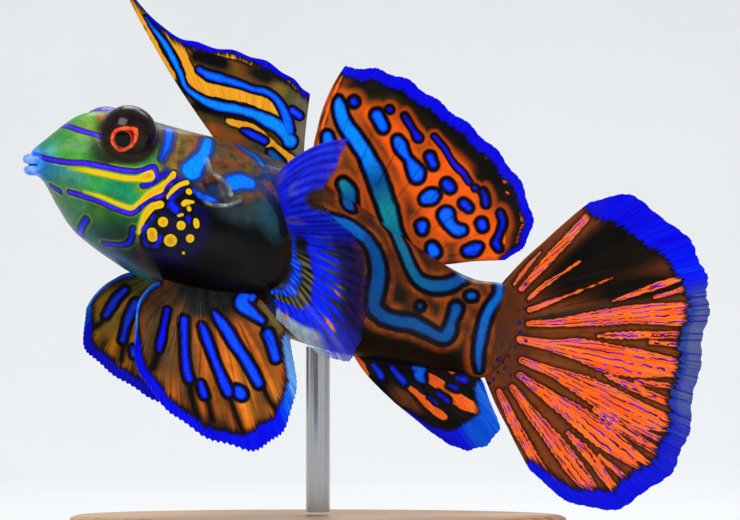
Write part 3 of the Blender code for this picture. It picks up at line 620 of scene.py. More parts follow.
class Wiring:
    """Adds nodes to a tree; every method gives back the output socket."""

    def __init__(self, tree):
        self.tree = tree

    def feed(self, socket, value):
        """Gives an input another node's output or a constant."""
        if isinstance(value, bpy.types.NodeSocket):
            self.tree.links.new(value, socket)
        elif value is not None:
            socket.default_value = value

    def add(self, kind, inputs, output=0, **settings):
        made = self.tree.nodes.new(kind)
        for key, value in settings.items():
            setattr(made, key, value)
        for key, value in inputs.items():
            self.feed(made.inputs[key], value)
        return made.outputs[output]

    def spot(self):
        """Where a point lies on its object, in metres."""
        return self.add("ShaderNodeTexCoord", {}, "Object")

    def number(self, name):
        return self.add("ShaderNodeAttribute", {}, "Fac", attribute_name=name)

    def colour(self, name):
        return self.add("ShaderNodeAttribute", {}, "Color", attribute_name=name)

    def math(self, operation, a, b=None, c=None):
        return self.add("ShaderNodeMath", {0: a, 1: b, 2: c}, operation=operation)

    def times(self, a, b):
        return self.math("MULTIPLY", a, b)

    def sway(self, noise, amount, around=0.0):
        """A value pushed to and fro by a noise."""
        return self.math("MULTIPLY_ADD", self.math("SUBTRACT", noise, 0.5), amount, around)

    def step(self, value, start, end, low=0.0, high=1.0):
        """Smoothly from low at start to high at end."""
        turned = (start, end, low, high) if start < end else (end, start, high, low)
        return self.add("ShaderNodeMapRange",
                        {"Value": value, 1: turned[0], 2: turned[1], 3: turned[2], 4: turned[3]},
                        interpolation_type="SMOOTHSTEP")

    def mix(self, share, a, b, blend="MIX"):
        return self.add("ShaderNodeMix", {0: share, 6: a, 7: b}, 2, data_type="RGBA", blend_type=blend)

    def tinted(self, share, colour, *factors):
        """A colour and, by a share, the same colour with its red, green and blue multiplied."""
        return self.mix(share, colour, self.mix(1.0, colour, (*factors, 1.0), "MULTIPLY"))

    def noise(self, size_mm, detail=2.0, where=None, roughness=0.5):
        return self.add("ShaderNodeTexNoise", {"Vector": where or self.spot(), "Scale": 1000.0 / size_mm,
                                               "Detail": detail, "Roughness": roughness}, "Fac")

    def bump(self, height, strength, depth_mm):
        return self.add("ShaderNodeBump", {"Height": height, "Strength": strength, "Distance": depth_mm * MM})

    def ramp(self, value, stops):
        made = self.tree.nodes.new("ShaderNodeValToRGB")
        self.feed(made.inputs[0], value)
        points = made.color_ramp.elements
        while len(points) < len(stops):
            points.new(0.5)
        for point, stop in zip(points, stops):
            point.position, point.color = stop
        return made.outputs[0]


def paint(red, green, blue):
    return (*(float(c) for c in linear((red, green, blue))), 1.0)


def new_group(name, inputs, outputs):
    """A shader group with named sockets, its wiring, and its two ends."""
    tree = bpy.data.node_groups.new(name, "ShaderNodeTree")
    for label, value in inputs:
        socket = tree.interface.new_socket(label, in_out="INPUT", socket_type="NodeSocketFloat")
        socket.default_value = value
    for label, kind in outputs:
        tree.interface.new_socket(label, in_out="OUTPUT", socket_type="NodeSocket" + kind)
    return (tree, Wiring(tree), tree.nodes.new("NodeGroupInput").outputs,
            tree.nodes.new("NodeGroupOutput").inputs)


def use_group(wiring, group, inputs, outputs):
    made = wiring.tree.nodes.new("ShaderNodeGroup")
    made.node_tree = group
    for key, value in inputs.items():
        wiring.feed(made.inputs[key], value)
    return [made.outputs[output] for output in outputs]


def new_material(name, roughness=None, **constants):
    """A Principled material, its wiring and its shader's inputs; constants go on the shader's own sockets."""
    made = bpy.data.materials.new(name)
    made.use_nodes = True
    shader = made.node_tree.nodes["Principled BSDF"]
    if roughness is not None:
        shader.inputs["Roughness"].default_value = roughness
    for key, value in constants.items():
        shader.inputs[key.replace("_", " ")].default_value = value
    return made, Wiring(made.node_tree), shader.inputs


# %% [markdown]
# ## Two shared effects
# The first, marking, cuts a stroke's distance into its parts. The core is brightest in its middle and darkens
# to its border, a soft black line rings it, and outside that lies a thin bright rim. A little noise is added to
# the distance first, so that no line is ruled. The second, slime, is the wet skin: fine grain in its height and
# patches of stronger and weaker gloss.

# %% Shader groups: marking and slime
marking, wire, given, out = new_group(
    "marking",
    (("Distance", 9.0), ("Tint", 0.5), ("Outline", 0.3), ("Wobble", 0.05), ("Shrink", 0.05)),
    (("Core", "Float"), ("Dark", "Float"), ("Rim", "Float"), ("Colour", "Color")))
shift = wire.sway(wire.noise(0.9, 2.0), given["Wobble"])
away = wire.math("ADD", wire.math("MULTIPLY_ADD", shift, 2.0, given["Distance"]), given["Shrink"])
outer = wire.math("DIVIDE", away, given["Outline"])
core = wire.step(away, 0.03, -0.05)
dark = wire.step(outer, 1.4, 0.75)
rim = wire.times(wire.step(outer, 0.9, 1.5), wire.step(outer, 3.4, 1.5))
body_colour = wire.ramp(given["Tint"], (
    (0.0, paint(92, 50, 250)), (0.25, paint(14, 10, 248)), (0.5, paint(0, 78, 255)),
    (0.75, paint(0, 146, 255)), (0.88, paint(0, 76, 146)), (1.0, paint(16, 136, 146))))
border = wire.ramp(given["Tint"], (
    (0.0, paint(44, 6, 210)), (0.25, paint(4, 0, 190)), (0.5, paint(0, 16, 226)),
    (0.75, paint(0, 66, 226)), (0.88, paint(0, 26, 74)), (1.0, paint(0, 56, 92))))
inner = wire.step(wire.math("MULTIPLY_ADD", wire.noise(0.35, 1.0), 0.10, away), 0.0, -0.24)
grain = wire.step(wire.noise(0.5, 4.0), 0.44, 0.66, 0.0, 0.5)
full = wire.tinted(grain, wire.mix(inner, border, body_colour), 0.4, 0.55, 0.72)
for socket, value in (("Core", core), ("Dark", dark), ("Rim", rim), ("Colour", full)):
    wire.feed(out[socket], value)

slime, wire, given, out = new_group(
    "slime", (("Height", 0.5), ("Gloss", 0.3)),
    (("Height", "Float"), ("Roughness", "Float"), ("Coat", "Float")))
fine = wire.add("ShaderNodeTexVoronoi", {"Vector": wire.spot(), "Scale": 6500.0}, "Distance",
                feature="SMOOTH_F1")
soft = wire.noise(1.4, 3.0)
wire.feed(out["Height"], wire.times(wire.math("MULTIPLY_ADD", soft, 0.5, fine), given["Height"]))
wire.feed(out["Roughness"], wire.math("MULTIPLY_ADD", wire.noise(2.2, 3.0), 0.22, given["Gloss"]))
wire.feed(out["Coat"], wire.step(wire.noise(3.5, 2.0), 0.3, 0.7, 0.04, 0.18))
print("groups:", marking.name, slime.name)

# %% [markdown]
# ## Skin material
# The skin is painted in the order a painter would use: mottled ground, then rims, then black outlines, then
# gold, then blue. All masks come from the numbers stored on the points.

# %% Skin material
skin_material, wire, skin_in = new_material("mandarin_skin", Coat_Roughness=0.12, Specular_IOR_Level=0.08)
head = wire.number("head")
mottle = wire.noise(1.1, 4.0, roughness=0.65)
speck = wire.noise(0.32, 2.0)
base = wire.tinted(wire.step(mottle, 0.35, 0.7, 0.0, 0.55), wire.colour("ground"), 0.42, 0.40, 0.36)
cloud = wire.times(wire.step(wire.noise(2.4, 3.0), 0.44, 0.58), wire.step(head, 0.5, 0.0, 0.0, 0.7))
base = wire.tinted(wire.times(cloud, wire.number("rim_share")), base, 0.36, 0.42, 0.5)
base = wire.tinted(wire.step(speck, 0.52, 0.75, 0.0, 0.35), base, 1.7, 1.6, 1.3)
rust = wire.times(wire.step(wire.noise(1.5, 4.0), 0.47, 0.6, 0.0, 0.6), wire.number("nape"))
base = wire.mix(rust, base, paint(138, 76, 24))
soot = wire.times(wire.step(wire.noise(0.7, 4.0), 0.5, 0.62, 0.0, 0.5), wire.number("nape"))
base = wire.mix(soot, base, paint(34, 30, 22))
core, dark, rim, blue = use_group(
    wire, marking, {"Distance": wire.number("blue_mm"), "Tint": wire.number("tint"),
                    "Outline": wire.times(wire.step(head, 0.0, 1.0, 0.42, 0.17),
                                         wire.step(wire.number("tint"), 0.05, 0.3, 0.55, 1.0)),
                    "Wobble": wire.step(head, 0.0, 1.0, 0.10, 0.05),
                    "Shrink": wire.step(head, 0.0, 1.0, 0.06, 0.03)},
    ("Core", "Dark", "Rim", "Colour"))
rim_paint = wire.mix(head, paint(156, 68, 14), paint(170, 184, 30))
rim_share = wire.times(rim, wire.number("rim_share"))
rim_share = wire.times(rim_share, wire.step(wire.noise(1.8, 2.0), 0.36, 0.62, 0.15, 0.9))
base = wire.mix(rim_share, base, rim_paint)
gold = wire.sway(wire.noise(0.7, 2.0), 0.10, wire.number("gold_mm"))
gold_share = wire.number("gold_share")
gold_ring = wire.times(wire.step(gold, 0.28, 0.10), wire.step(head, 0.9, 0.4))
base = wire.mix(gold_ring, base, paint(3, 2, 10))
base = wire.mix(wire.times(dark, wire.number("outlined")), base,
                wire.mix(wire.number("nape"), paint(4, 3, 8), paint(12, 56, 104)))
gold_paint = wire.mix(wire.step(gold, -0.1, -0.45), paint(236, 194, 16), paint(226, 150, 14))
gold_glow = wire.times(wire.step(gold, 0.28, 0.02), wire.step(head, 0.6, 1.0))
base = wire.mix(wire.times(gold_glow, gold_share), base, paint(120, 170, 30))
base = wire.mix(wire.times(wire.step(gold, 0.05, -0.05), gold_share), base, gold_paint)
night = wire.times(wire.step(wire.noise(0.9, 2.0), 0.42, 0.56, 0.0, 0.75), wire.number("cheek"))
base = wire.mix(core, base, wire.mix(night, blue, paint(6, 3, 64)))
base = wire.mix(wire.step(wire.number("pale_mm"), 0.18, -0.08), base,
                wire.mix(wire.step(wire.noise(1.2, 2.0), 0.4, 0.6), paint(120, 130, 122), paint(196, 200, 192)))
base = wire.mix(wire.number("eye_dark"), base, wire.mix(mottle, paint(20, 13, 12), paint(46, 36, 20)))
lip_paint = wire.mix(wire.step(wire.noise(0.8, 2.0), 0.35, 0.65), paint(10, 116, 250), paint(132, 176, 255))
base = wire.mix(wire.number("lips"), base, lip_paint)
base = wire.mix(wire.number("mouth"), base, paint(20, 60, 70))
wire.feed(skin_in["Base Color"], base)
height, rough, coat = use_group(wire, slime, {"Height": 0.5, "Gloss": 0.22}, ("Height", "Roughness", "Coat"))
wire.feed(skin_in["Roughness"], rough)
wire.feed(skin_in["Coat Weight"], coat)
wire.feed(skin_in["Normal"], wire.bump(height, 0.35, 0.12))
print("skin material nodes:", len(wire.tree.nodes))

# %% [markdown]
# ## One skin over head, trunk and tail stem
# The three solids of flesh are hidden and this one closed skin stands for them, so that no seam shows. Its UV
# map is simply ring by spoke, an unrolled tube.

# %% The skin piece


UV_SHARE, UV_MARGIN = 0.98, 0.01  # of the map's width and height, so that nothing touches its border
FACE_SHARE = 0.46  # of the map's width for each face of a fin


def give_uv(piece, u, v, corner_fix=None):
    """A UV map for baking from one u and v a point; corner_fix may shift a face's corners past a seam."""
    mesh = piece.data
    corner = np.empty(len(mesh.loops), np.int32)
    mesh.loops.foreach_get("vertex_index", corner)
    uv = np.stack([u[corner], v[corner]], -1)
    if corner_fix is not None:
        uv = corner_fix(uv, mesh)
    layer = mesh.uv_layers.new(name="OFBake")
    layer.data.foreach_set("uv", np.ascontiguousarray(uv, np.float32).ravel())


def close_seam(uv, mesh):
    """Where a face wraps round from the last spoke to the first, its first spoke counts as one past the last."""
    count = np.empty(len(mesh.polygons), np.int32)
    mesh.polygons.foreach_get("loop_total", count)
    face = np.repeat(np.arange(len(count)), count)
    widest = np.zeros(len(count))
    np.maximum.at(widest, face, uv[:, 0])
    uv[(widest[face] > 0.8) & (uv[:, 0] < 0.2), 0] += UV_SHARE
    return uv


behind = smooth_step(286, 306, near_x) * smooth_step(500, 492, near_x)
under_eye = smooth_step(158, 166, near_y) * smooth_step(216, 196, near_y)
rim_share = np.where(head_share > 0.5, 0.25 + 0.45 * under_eye, behind)
outlined = np.where(head_share > 0.5, 0.85, 0.75 + 0.25 * behind)
cheek_field = smooth_step(1.3, 0.9, np.hypot((near_x - 172) / 36, (near_y - 222) / 40))
outlined = np.maximum(outlined, cheek_field) * smooth_step(505, 498, near_x)
nape = (1 - head_share) * (1 - behind) * (1 - cheek_field) * smooth_step(208, 186, near_y)
gold_share = smooth_step(58, 98, near_x)
near_numbers = {
    "blue_mm": blue_mm, "tint": blue_tint, "gold_mm": gold_mm, "pale_mm": pale_mm, "head": head_share, "lips": lips,
    "mouth": mouth_hole, "rim_share": rim_share, "outlined": outlined, "nape": nape, "gold_share": gold_share,
    "cheek": cheek_field, "eye_dark": eye_dark, "ground": ground}
skin = make_piece("fish_skin", skin_points.reshape(-1, 3), tube_faces(*skin_points.shape[:2]),
                  {key: both_sides(values).reshape(-1, *values.shape[2:]) for key, values in near_numbers.items()})
ring_gaps = np.linalg.norm(np.diff(skin_points.mean(1), axis=0), axis=1)
down_body = np.concatenate([[0], np.cumsum(np.maximum(ring_gaps, 0.05))])
give_uv(skin, (ring_turn / (2 * np.pi) * UV_SHARE + 0.005).ravel(),
        np.repeat(down_body / down_body[-1] * UV_SHARE + UV_MARGIN, SPOKES), close_seam)
skin.data.materials.append(skin_material)
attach(skin, "root")
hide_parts("head", "trunk", "tail_stem")
print("skin triangles:", triangles(skin))

# %% [markdown]
# ## Fins: the lines they hang on
# Each fin is a thin skin stretched over bony rays. The rows below give each line's root and tip on the drawing
# and how much it bows. The fins of the middle plane take their depth from the body's bend, and the paired fins
# state their own. Between lines the sheet follows a smooth curve.

# %% Fin lines
FIRST_DORSAL = (
    (22.7, 15.1, 12.1, -1.9, 0.55), (23.1, 15.3, 16.2, 2.6, 0.35), (23.8, 15.6, 19.8, 4.2, 0.2),
    (25.0, 16.1, 23.4, 5.0, 0.2), (26.2, 16.6, 26.7, 6.1, 0.3), (28.2, 17.5, 29.4, 7.9, 0.3),
    (30.3, 18.6, 31.0, 9.4, 0.2),
)
SECOND_DORSAL = (
    (31.7, 19.1, 34.5, 6.6, 1.3), (33.1, 20.0, 37.7, 6.8, 0.9), (34.5, 21.0, 40.9, 7.9, 0.7),
    (35.9, 22.0, 43.9, 10.0, 0.5), (37.3, 22.95, 46.9, 12.3, 0.4), (38.7, 23.9, 49.8, 15.0, 0.3),
    (40.0, 24.8, 52.2, 18.2, 0.2), (41.1, 25.55, 53.4, 22.0, 0.0), (41.9, 26.1, 52.4, 24.7, 0.1),
    (42.5, 26.5, 50.5, 26.0, 0.1),
)
TAIL_FIN = (
    (49.8, 29.0, 59.0, 20.2, 0.3), (50.2, 29.9, 63.3, 19.5, 0.3), (50.6, 30.9, 69.0, 23.8, 0.2),
    (50.9, 31.9, 70.8, 27.6, 0.0), (51.1, 32.8, 71.0, 31.2, 0.0), (51.1, 33.7, 70.1, 36.6, 0.0),
    (50.9, 34.7, 69.0, 43.2, 0.0), (50.5, 35.7, 67.2, 47.4, 0.0), (49.9, 36.5, 61.9, 51.0, -0.2),
    (49.2, 37.1, 56.8, 50.2, -0.2), (48.5, 37.4, 53.0, 47.0, -0.2),
)
ANAL_FIN = (
    (35.2, 34.9, 40.6, 41.0, -0.5), (37.0, 35.2, 43.0, 43.1, -0.4), (38.8, 35.5, 45.0, 44.5, -0.3),
    (40.6, 35.7, 46.8, 45.1, -0.2), (42.4, 35.9, 48.7, 44.6, 0.0), (44.1, 36.1, 50.0, 42.9, 0.2),
    (45.7, 36.3, 49.3, 41.0, 0.3), (47.0, 36.5, 48.4, 38.9, 0.2),
)
PELVIC_LEFT = (
    (17.6, 28.0, -6.2, 13.7, 32.4, -11.2, -1.5), (18.4, 28.3, -6.4, 13.7, 36.8, -12.6, -1.1),
    (19.2, 28.5, -6.5, 16.6, 41.0, -13.2, -0.7), (20.1, 28.7, -6.6, 20.7, 43.9, -13.2, -0.2),
    (21.0, 28.8, -6.6, 25.4, 45.2, -12.6, 0.2), (21.9, 28.8, -6.6, 28.4, 43.2, -11.8, 0.4),
    (22.9, 28.7, -6.6, 29.7, 38.8, -10.6, 0.5), (24.0, 28.6, -6.5, 29.0, 34.0, -9.0, 0.5),
)
PELVIC_RIGHT = (
    (15.2, 27.3, 1.0, 8.6, 31.0, 0.6, -1.3), (15.9, 27.6, 1.0, 8.4, 34.9, 2.0, -1.0),
    (16.6, 27.9, 1.0, 11.3, 37.6, 3.6, -0.7), (17.4, 28.1, 1.0, 15.2, 40.0, 4.8, -0.2),
    (18.2, 28.2, 1.0, 19.6, 41.4, 5.4, 0.2), (19.0, 28.2, 1.0, 23.2, 40.6, 5.6, 0.4),
    (19.9, 28.1, 1.0, 25.2, 37.2, 5.4, 0.5), (20.9, 28.0, 1.2, 24.8, 33.2, 4.8, 0.5),
)
PECTORAL = (
    (26.9, 19.2, -5.6, 35.0, 13.9, -9.6, 1.4), (27.3, 20.1, -5.9, 33.6, 16.8, -11.2, 0.9),
    (27.7, 21.1, -6.2, 32.2, 19.6, -13.0, 0.4), (28.0, 22.0, -6.4, 33.3, 21.7, -13.8, 0.0),
    (28.2, 23.0, -6.6, 35.2, 23.3, -13.2, -0.1), (28.3, 23.8, -6.6, 36.4, 25.6, -12.6, 0.0),
    (28.3, 24.6, -6.6, 36.8, 28.4, -12.6, 0.1), (28.3, 25.3, -6.6, 36.7, 31.2, -12.9, 0.2),
    (28.2, 26.0, -6.6, 36.1, 34.0, -13.3, 0.3), (28.0, 26.7, -6.5, 34.9, 36.1, -13.4, 0.3),
    (27.6, 27.4, -6.4, 32.3, 35.6, -13.2, 0.3), (27.2, 27.9, -6.3, 29.7, 33.8, -12.6, 0.3),
    (26.8, 28.4, -6.2, 27.6, 31.8, -11.6, 0.3),
)
MIRROR_X, RIGHT_PECTORAL_SHARE = 28.0, 0.90


def fin_points(rows, u, v, wave, waves):
    """Points of a fin's middle sheet: u counts lines, v runs from the root, 0, to the edge, 1."""
    line = along(rows, u)
    if len(rows[0]) == 5:
        root, tip = (place(line[..., k], line[..., k + 1], bend(line[..., k])) for k in (0, 2))
    else:
        root, tip = (place(line[..., k], line[..., k + 1], line[..., k + 2]) for k in (0, 3))
    run = tip - root
    across = unit(np.stack([-run[..., 2], 0 * run[..., 0], run[..., 0]], -1))
    points = root + run * v[..., None] + across * (line[..., -1] * 4 * v * (1 - v))[..., None]
    if len(rows[0]) == 5:
        points[..., 1] = bend(points[..., 0] + ROD_X)
    points[..., 1] += wave * v * np.sin(2 * np.pi * waves * u / (len(rows) - 1))
    return points


# %% [markdown]
# ## Fin patterns
# Blue spots ringed in black lie on orange in the second dorsal fin, bands run over the first, and the pelvic
# fins carry blue bars along their rays. Each fin also has a blue edge whose width changes along it. Washes give
# the ground between the rays, and a second set gives the brighter colour of the rays themselves.

# %% Strokes and washes of the fins
FIN_STROKES = {
    "dorsal_fin_first": (
        (AZURE, 9.5, ((145, 18, 4.5), (155, 31.5, 6), (165.5, 45.5, 8), (173, 60, 8.5), (180, 74, 7.5),
            (185, 87, 7), (193.5, 94.5, 7.5), (206, 102), (219, 106, 11), (238, 109.5, 10.5),
            (255, 114.5, 11), (267.5, 120.5, 14), (278.5, 127, 14.5), (285, 135.5, 11), (290, 141, 15))),
        (0.6, 9, ((199, 70, 7), (209, 75.5, 10), (222, 79, 10), (237.5, 83.5, 8), (251.5, 88.5, 7),
            (264.5, 91.5, 7.5), (274, 97, 8), (281, 106), (285, 114.5, 10), (287.5, 123.5, 11.5),
            (288.5, 130, 12.5))),
        (BLUE, 8.5, ((292, 110.5), (299, 115.5))),
        (0.4, 7.5, ((242.5, 130.5, 4.5), (251, 134, 8), (264.5, 141))),
        (0.86, 9.5, ((270.5, 153), (281, 163))),
    ),
    "dorsal_fin_second": (
        (AZURE, 15, ((338.5, 99.5, 7), (339, 106.5, 12.5), (344.5, 124), (356, 140, 15.5), (367, 156.5))),
        ((0.75, 1.0), 18.5, ((366.5, 156.5, 15.5), (374, 172), (381, 190.5, 19.5), (387, 209.5, 18))),
        ((1.0, 0.87), 14.5, ((387.5, 209.5, 19.5), (394, 232.5, 15.5), (403, 248.5, 13.5),
            (411.5, 266.5, 10.5))),
        (0.68, 12, ((327, 136, 10.5), (328.5, 146, 14), (328, 156))),
        ((1.0, 0.86), 15.5, ((343, 184, 12.5), (347.5, 192, 16.5), (349, 205.5))),
        (0.35, 10, ((353.5, 102),)),
        (0.6, 12, ((377, 115.5, 12.5), (383, 127.5, 11))),
        (ULTRAMARINE, 7, ((389.5, 110),)),
        (ULTRAMARINE, 5.5, ((404.5, 116.5), (408.5, 123), (413, 130), (418, 138, 8.5))),
        (0.2, 5.5, ((434, 136.5, 5), (443.5, 147), (451.5, 160), (457.5, 168, 6.5), (463, 173, 6),
            (469, 182))),
        (0.2, 7, ((475, 188),)),
        (0.3, 5.5, ((482.5, 191.5), (485, 197), (485.5, 203.5, 7))),
        (0.6, 11.5, ((397.5, 140, 10), (400.5, 146.5, 13), (405, 154.5, 9.5), (408.5, 159.5, 8),
            (415.5, 171, 16), (416.5, 175.5, 15))),
        (0.4, 9, ((430, 157, 9.5), (433.5, 165, 8.5))),
        (0.4, 10.5, ((447, 184, 11), (450, 187.5))),
        (0.6, 12, ((425.5, 199), (431, 196.5, 15), (434, 195.5))),
        (0.4, 9, ((463.5, 203.5), (468.5, 207.5, 8.5))),
        (0.6, 12, ((446, 215, 16.5), (446.5, 217.5, 15), (450.5, 224.5, 11.5), (457, 230),
            (462, 230, 9.5))),
        (0.55, 10, ((422, 225.5, 11.5), (422, 230, 9))),
        (0.45, 10, ((481.5, 223, 10.5), (482.5, 226.5))),
        (0.61, 12.5, ((432, 248, 12), (433.5, 251.5, 13.5))),
        (0.5, 11, ((468, 251), (473.5, 249.5, 13), (478.5, 247, 8.5))),
        (0.3, 6, ((500, 213, 5), (502.5, 222), (499.5, 233, 5.5), (496, 241.5, 7), (496.5, 244.5, 8.5),
            (498.5, 248.5, 6.5))),
    ),
    "anal_fin": (
        (0.4, 8, ((373, 365.5, 7), (378, 371), (381.5, 376.5, 8.5))),
        (0.4, 7.5, ((391.5, 367.5, 7), (397.5, 374.5), (404, 382, 8))),
        (0.6, 10, ((416, 366, 13), (422.5, 368, 8), (419, 374, 12.5), (422.5, 380.5, 7))),
        (0.3, 7, ((456.5, 378, 5), (464.5, 380, 9.5))),
        (0.3, 5.5, ((449.5, 385, 5), (456.5, 388.5, 6))),
        (0.3, 5.5, ((437.5, 393, 5), (447.5, 401, 6))),
        (0.2, 4, ((429, 397), (437, 404))),
    ),
    "pelvic_fin_left": (
        (0.26, 6.5, ((167, 310.5), (164, 325), (161, 340, 8.5), (159, 349.5))),
        (0.33, 9, ((184, 320), (184.5, 348, 7.5), (186.5, 370), (189, 379))),
        (0.4, 9, ((202, 326.5, 7), (206, 338, 9.5), (211.5, 353, 8.5), (219, 372), (227, 390, 11),
            (227.5, 395, 6.5))),
        (0.5, 7, ((228.5, 392.5, 3), (235, 387, 3), (239, 391, 10.5), (240.5, 394.5, 13.5))),
        (0.5, 10, ((214, 313.5, 5.5), (219, 320, 9.5), (228, 333, 12), (235, 345, 11), (243.5, 357),
            (252, 371, 11), (258.5, 384, 9.5))),
        (0.38, 8, ((200.5, 384, 7), (202.5, 390.5, 9), (204.5, 396))),
        (0.55, 10.5, ((249.5, 290.5, 9), (242, 303, 15), (251.5, 312.5, 11.5), (262, 321, 7.5))),
        (0.5, 11, ((268, 334, 11.5), (272, 345, 10.5), (276, 357.5))),
    ),
    "pelvic_fin_right": (
        (0.4, 7.5, ((125, 289.5, 7), (114.5, 301, 9), (106, 314.5))),
        (0.4, 8.5, ((135.5, 303, 9.5), (128.5, 317.5), (122.5, 339.5, 7.5))),
        (0.45, 7, ((153.5, 302, 4), (150, 310), (145, 328), (143.5, 340), (143.8, 345))),
        (0.5, 8.5, ((168, 312, 7), (170, 322), (173, 335), (177, 350), (181, 364, 9.5))),
        (0.5, 9, ((181.5, 303, 5.5), (186, 310), (192, 320, 11), (197, 330), (203, 341), (209.5, 353, 10),
            (213, 361))),
        (0.5, 9.5, ((193, 367.5, 11),)),
        (0.5, 7.5, ((155, 357), (156.5, 362, 8.5), (157.5, 366))),
        (0.55, 9.5, ((214, 289, 8), (209.5, 297, 12), (217, 305), (225, 313, 7))),
        (0.5, 10, ((230, 324.5), (232.5, 334), (235, 343))),
        (0.6, 6, ((132.5, 347.5, 5.5), (133.5, 355))),
    ),
}
DORSAL_STREAKS = (
    (13, ((136.5, 2, 6), (149, 18, 7.5), (161, 30, 10), (171, 39, 11), (180, 50, 9.5), (187, 66, 8.5),
        (193.5, 80), (204, 88.5), (220, 91, 13.5), (238, 94.5), (256, 99, 13.5), (267.5, 104.5, 19),
        (275.5, 110, 18.5))),
    (5.5, ((188, 42, 6), (195, 48, 5))),
    (4, ((205.5, 46, 3), (215, 52, 4.5), (230, 56, 4.5), (243, 59), (250.5, 63, 3))),
    (1.5, ((208, 43.5), (222, 47.5, 2.5), (232, 50, 1))),
    (1.5, ((275, 67.5), (280, 71, 2.5), (286, 75, 1))),
    (4, ((282, 75.5, 3.5), (290, 80.5), (296.5, 87, 5.5))),
    (2, ((302, 87), (308, 91, 2.5))),
    (8.5, ((227.5, 121, 4), (239.5, 124.5, 8), (253, 129), (264.5, 138.5), (273, 147, 9), (283, 155, 10),
        (293, 161.5, 9))),
)
FIRST_HEM = ((3.6, ((121.5, -16, 3), (140, 16, 3), (157.8, 49), (162.3, 57.3), (170.5, 70, 3), (178, 83, 2))),)

ANAL_STREAKS = (
    (11.5, ((427, 376.5, 8), (443, 387.5), (456, 398.5, 12.5), (469, 406), (481.5, 409.5))),
    (7, ((409.5, 387.5, 4.5), (423.5, 399.5), (435.5, 410.5, 8), (444.5, 417, 6.5))),
    (5.5, ((432, 359, 4.5), (446, 366, 6.5), (458, 373, 8), (465, 378, 4.5))),
    (3, ((352, 360), (360, 367, 5), (368, 374))),
)
RIM_TICKS = (
    (2, ((466, 138.6),)), (3, ((504, 180.6), (507, 182.4, 4))), (2, ((506, 192), (508.4, 193.4))),
    (4, ((521, 212, 3), (523, 219, 5))), (4, ((524, 226, 5), (520, 234, 4), (517, 242, 3))),
    (4, ((504, 234, 3), (503, 242, 5))), (1.6, ((484, 156), (487, 158.6))),
    (2.6, ((350, 64), (338, 84), (328, 108), (321, 132), (316, 156))),
)
TAIL_FANS = (
    (6.5, ((521.5, 288.5, 5.5), (555.5, 251.5, 8.5), (586, 217.5))),
    (2.5, ((514, 284), (526, 268, 3.5), (540, 252, 2))),
    (3, ((528.5, 299, 3.5), (545.5, 284.5, 4), (563.5, 272.5), (579.5, 261.5, 2.5))),
    (2, ((529.5, 310, 5), (548.5, 303, 4), (570.5, 294.5), (592.5, 286, 1.5), (612.5, 278, 1.5))),
    (5.5, ((612.5, 301, 1.5), (644.5, 290.5, 6), (678.5, 279))),
    (3.5, ((654.5, 297.5, 2), (686.5, 288.5, 5.5))),
    (15, ((528, 324, 4.5), (560, 322.5, 8.5), (600, 318), (640, 314, 19), (683.5, 314.5, 23.5))),
    (6.5, ((598, 336, 2.5), (620, 335.5), (688, 334.5, 7))),
    (5, ((650, 342.5, 3), (688, 345, 7))),
    (19, ((520, 339.5, 7), (550, 345, 10.5), (576, 349, 21), (608, 358, 28), (639.5, 363.5, 27.5),
        (679.5, 368, 17))),
    (7, ((606, 375, 3), (631.5, 386.5), (676, 405.5))),
    (5.5, ((635.5, 382, 4), (678.5, 387, 7))),
    (18, ((522, 360, 6), (550.5, 371, 9.5), (580.5, 384.5, 19.5), (605.5, 398.5, 26.5),
        (639.5, 414.5, 25), (674, 425, 15.5))),
    (7, ((594, 409, 4), (621.5, 428, 8.5), (663, 455))),
    (4, ((622.5, 421.5, 2), (670, 444, 6))),
    (13, ((519.5, 375, 5.5), (550.5, 397.5), (581.5, 419, 21), (607, 438.5, 23), (650, 470, 11))),
    (7, ((568, 433, 3.5), (589.5, 455.5, 9.5), (616.5, 492))),
    (5, ((599.5, 455.5, 3.5), (638, 490, 6.5))),
    (11, ((512, 387.5, 6), (533.5, 416), (557, 444.5, 16), (575, 469, 18), (595, 493, 10))),
    (7.5, ((498.5, 392, 6), (517.5, 430, 10), (540, 467.5, 9), (559, 487, 6))),
)
FIN_STREAKS = {"dorsal_fin_first": DORSAL_STREAKS, "anal_fin": ANAL_STREAKS, "tail_fin": TAIL_FANS,
               "dorsal_fin_second": RIM_TICKS}
# Where shadow lies: beyond the ends of the pelvic bars and along the foot of the first dorsal's long stripe
FIN_SHADOWS = {
    "pelvic_fin_left": ((6, ((189, 380), (192, 400), (197, 418))), (5, ((229, 396), (236, 416), (243, 434))),
                        (5, ((262, 386), (270, 402), (281, 416))), (6, ((159, 350), (153, 368))),
                        (5, ((207, 398), (212, 420)))),
    "pelvic_fin_right": ((5, ((124, 342), (121, 360))), (5, ((106, 318), (96, 326))),
                         (5, ((182, 366), (187, 380), (192, 392))), (5, ((215, 364), (222, 378)))),
    "dorsal_fin_first": ((7, ((196, 106), (216, 112), (240, 119), (262, 132))),
                         (9, ((196, 56), (212, 59), (222, 62)))),
    "anal_fin": ((10, ((440, 412), (462, 426), (484, 434))),),
}
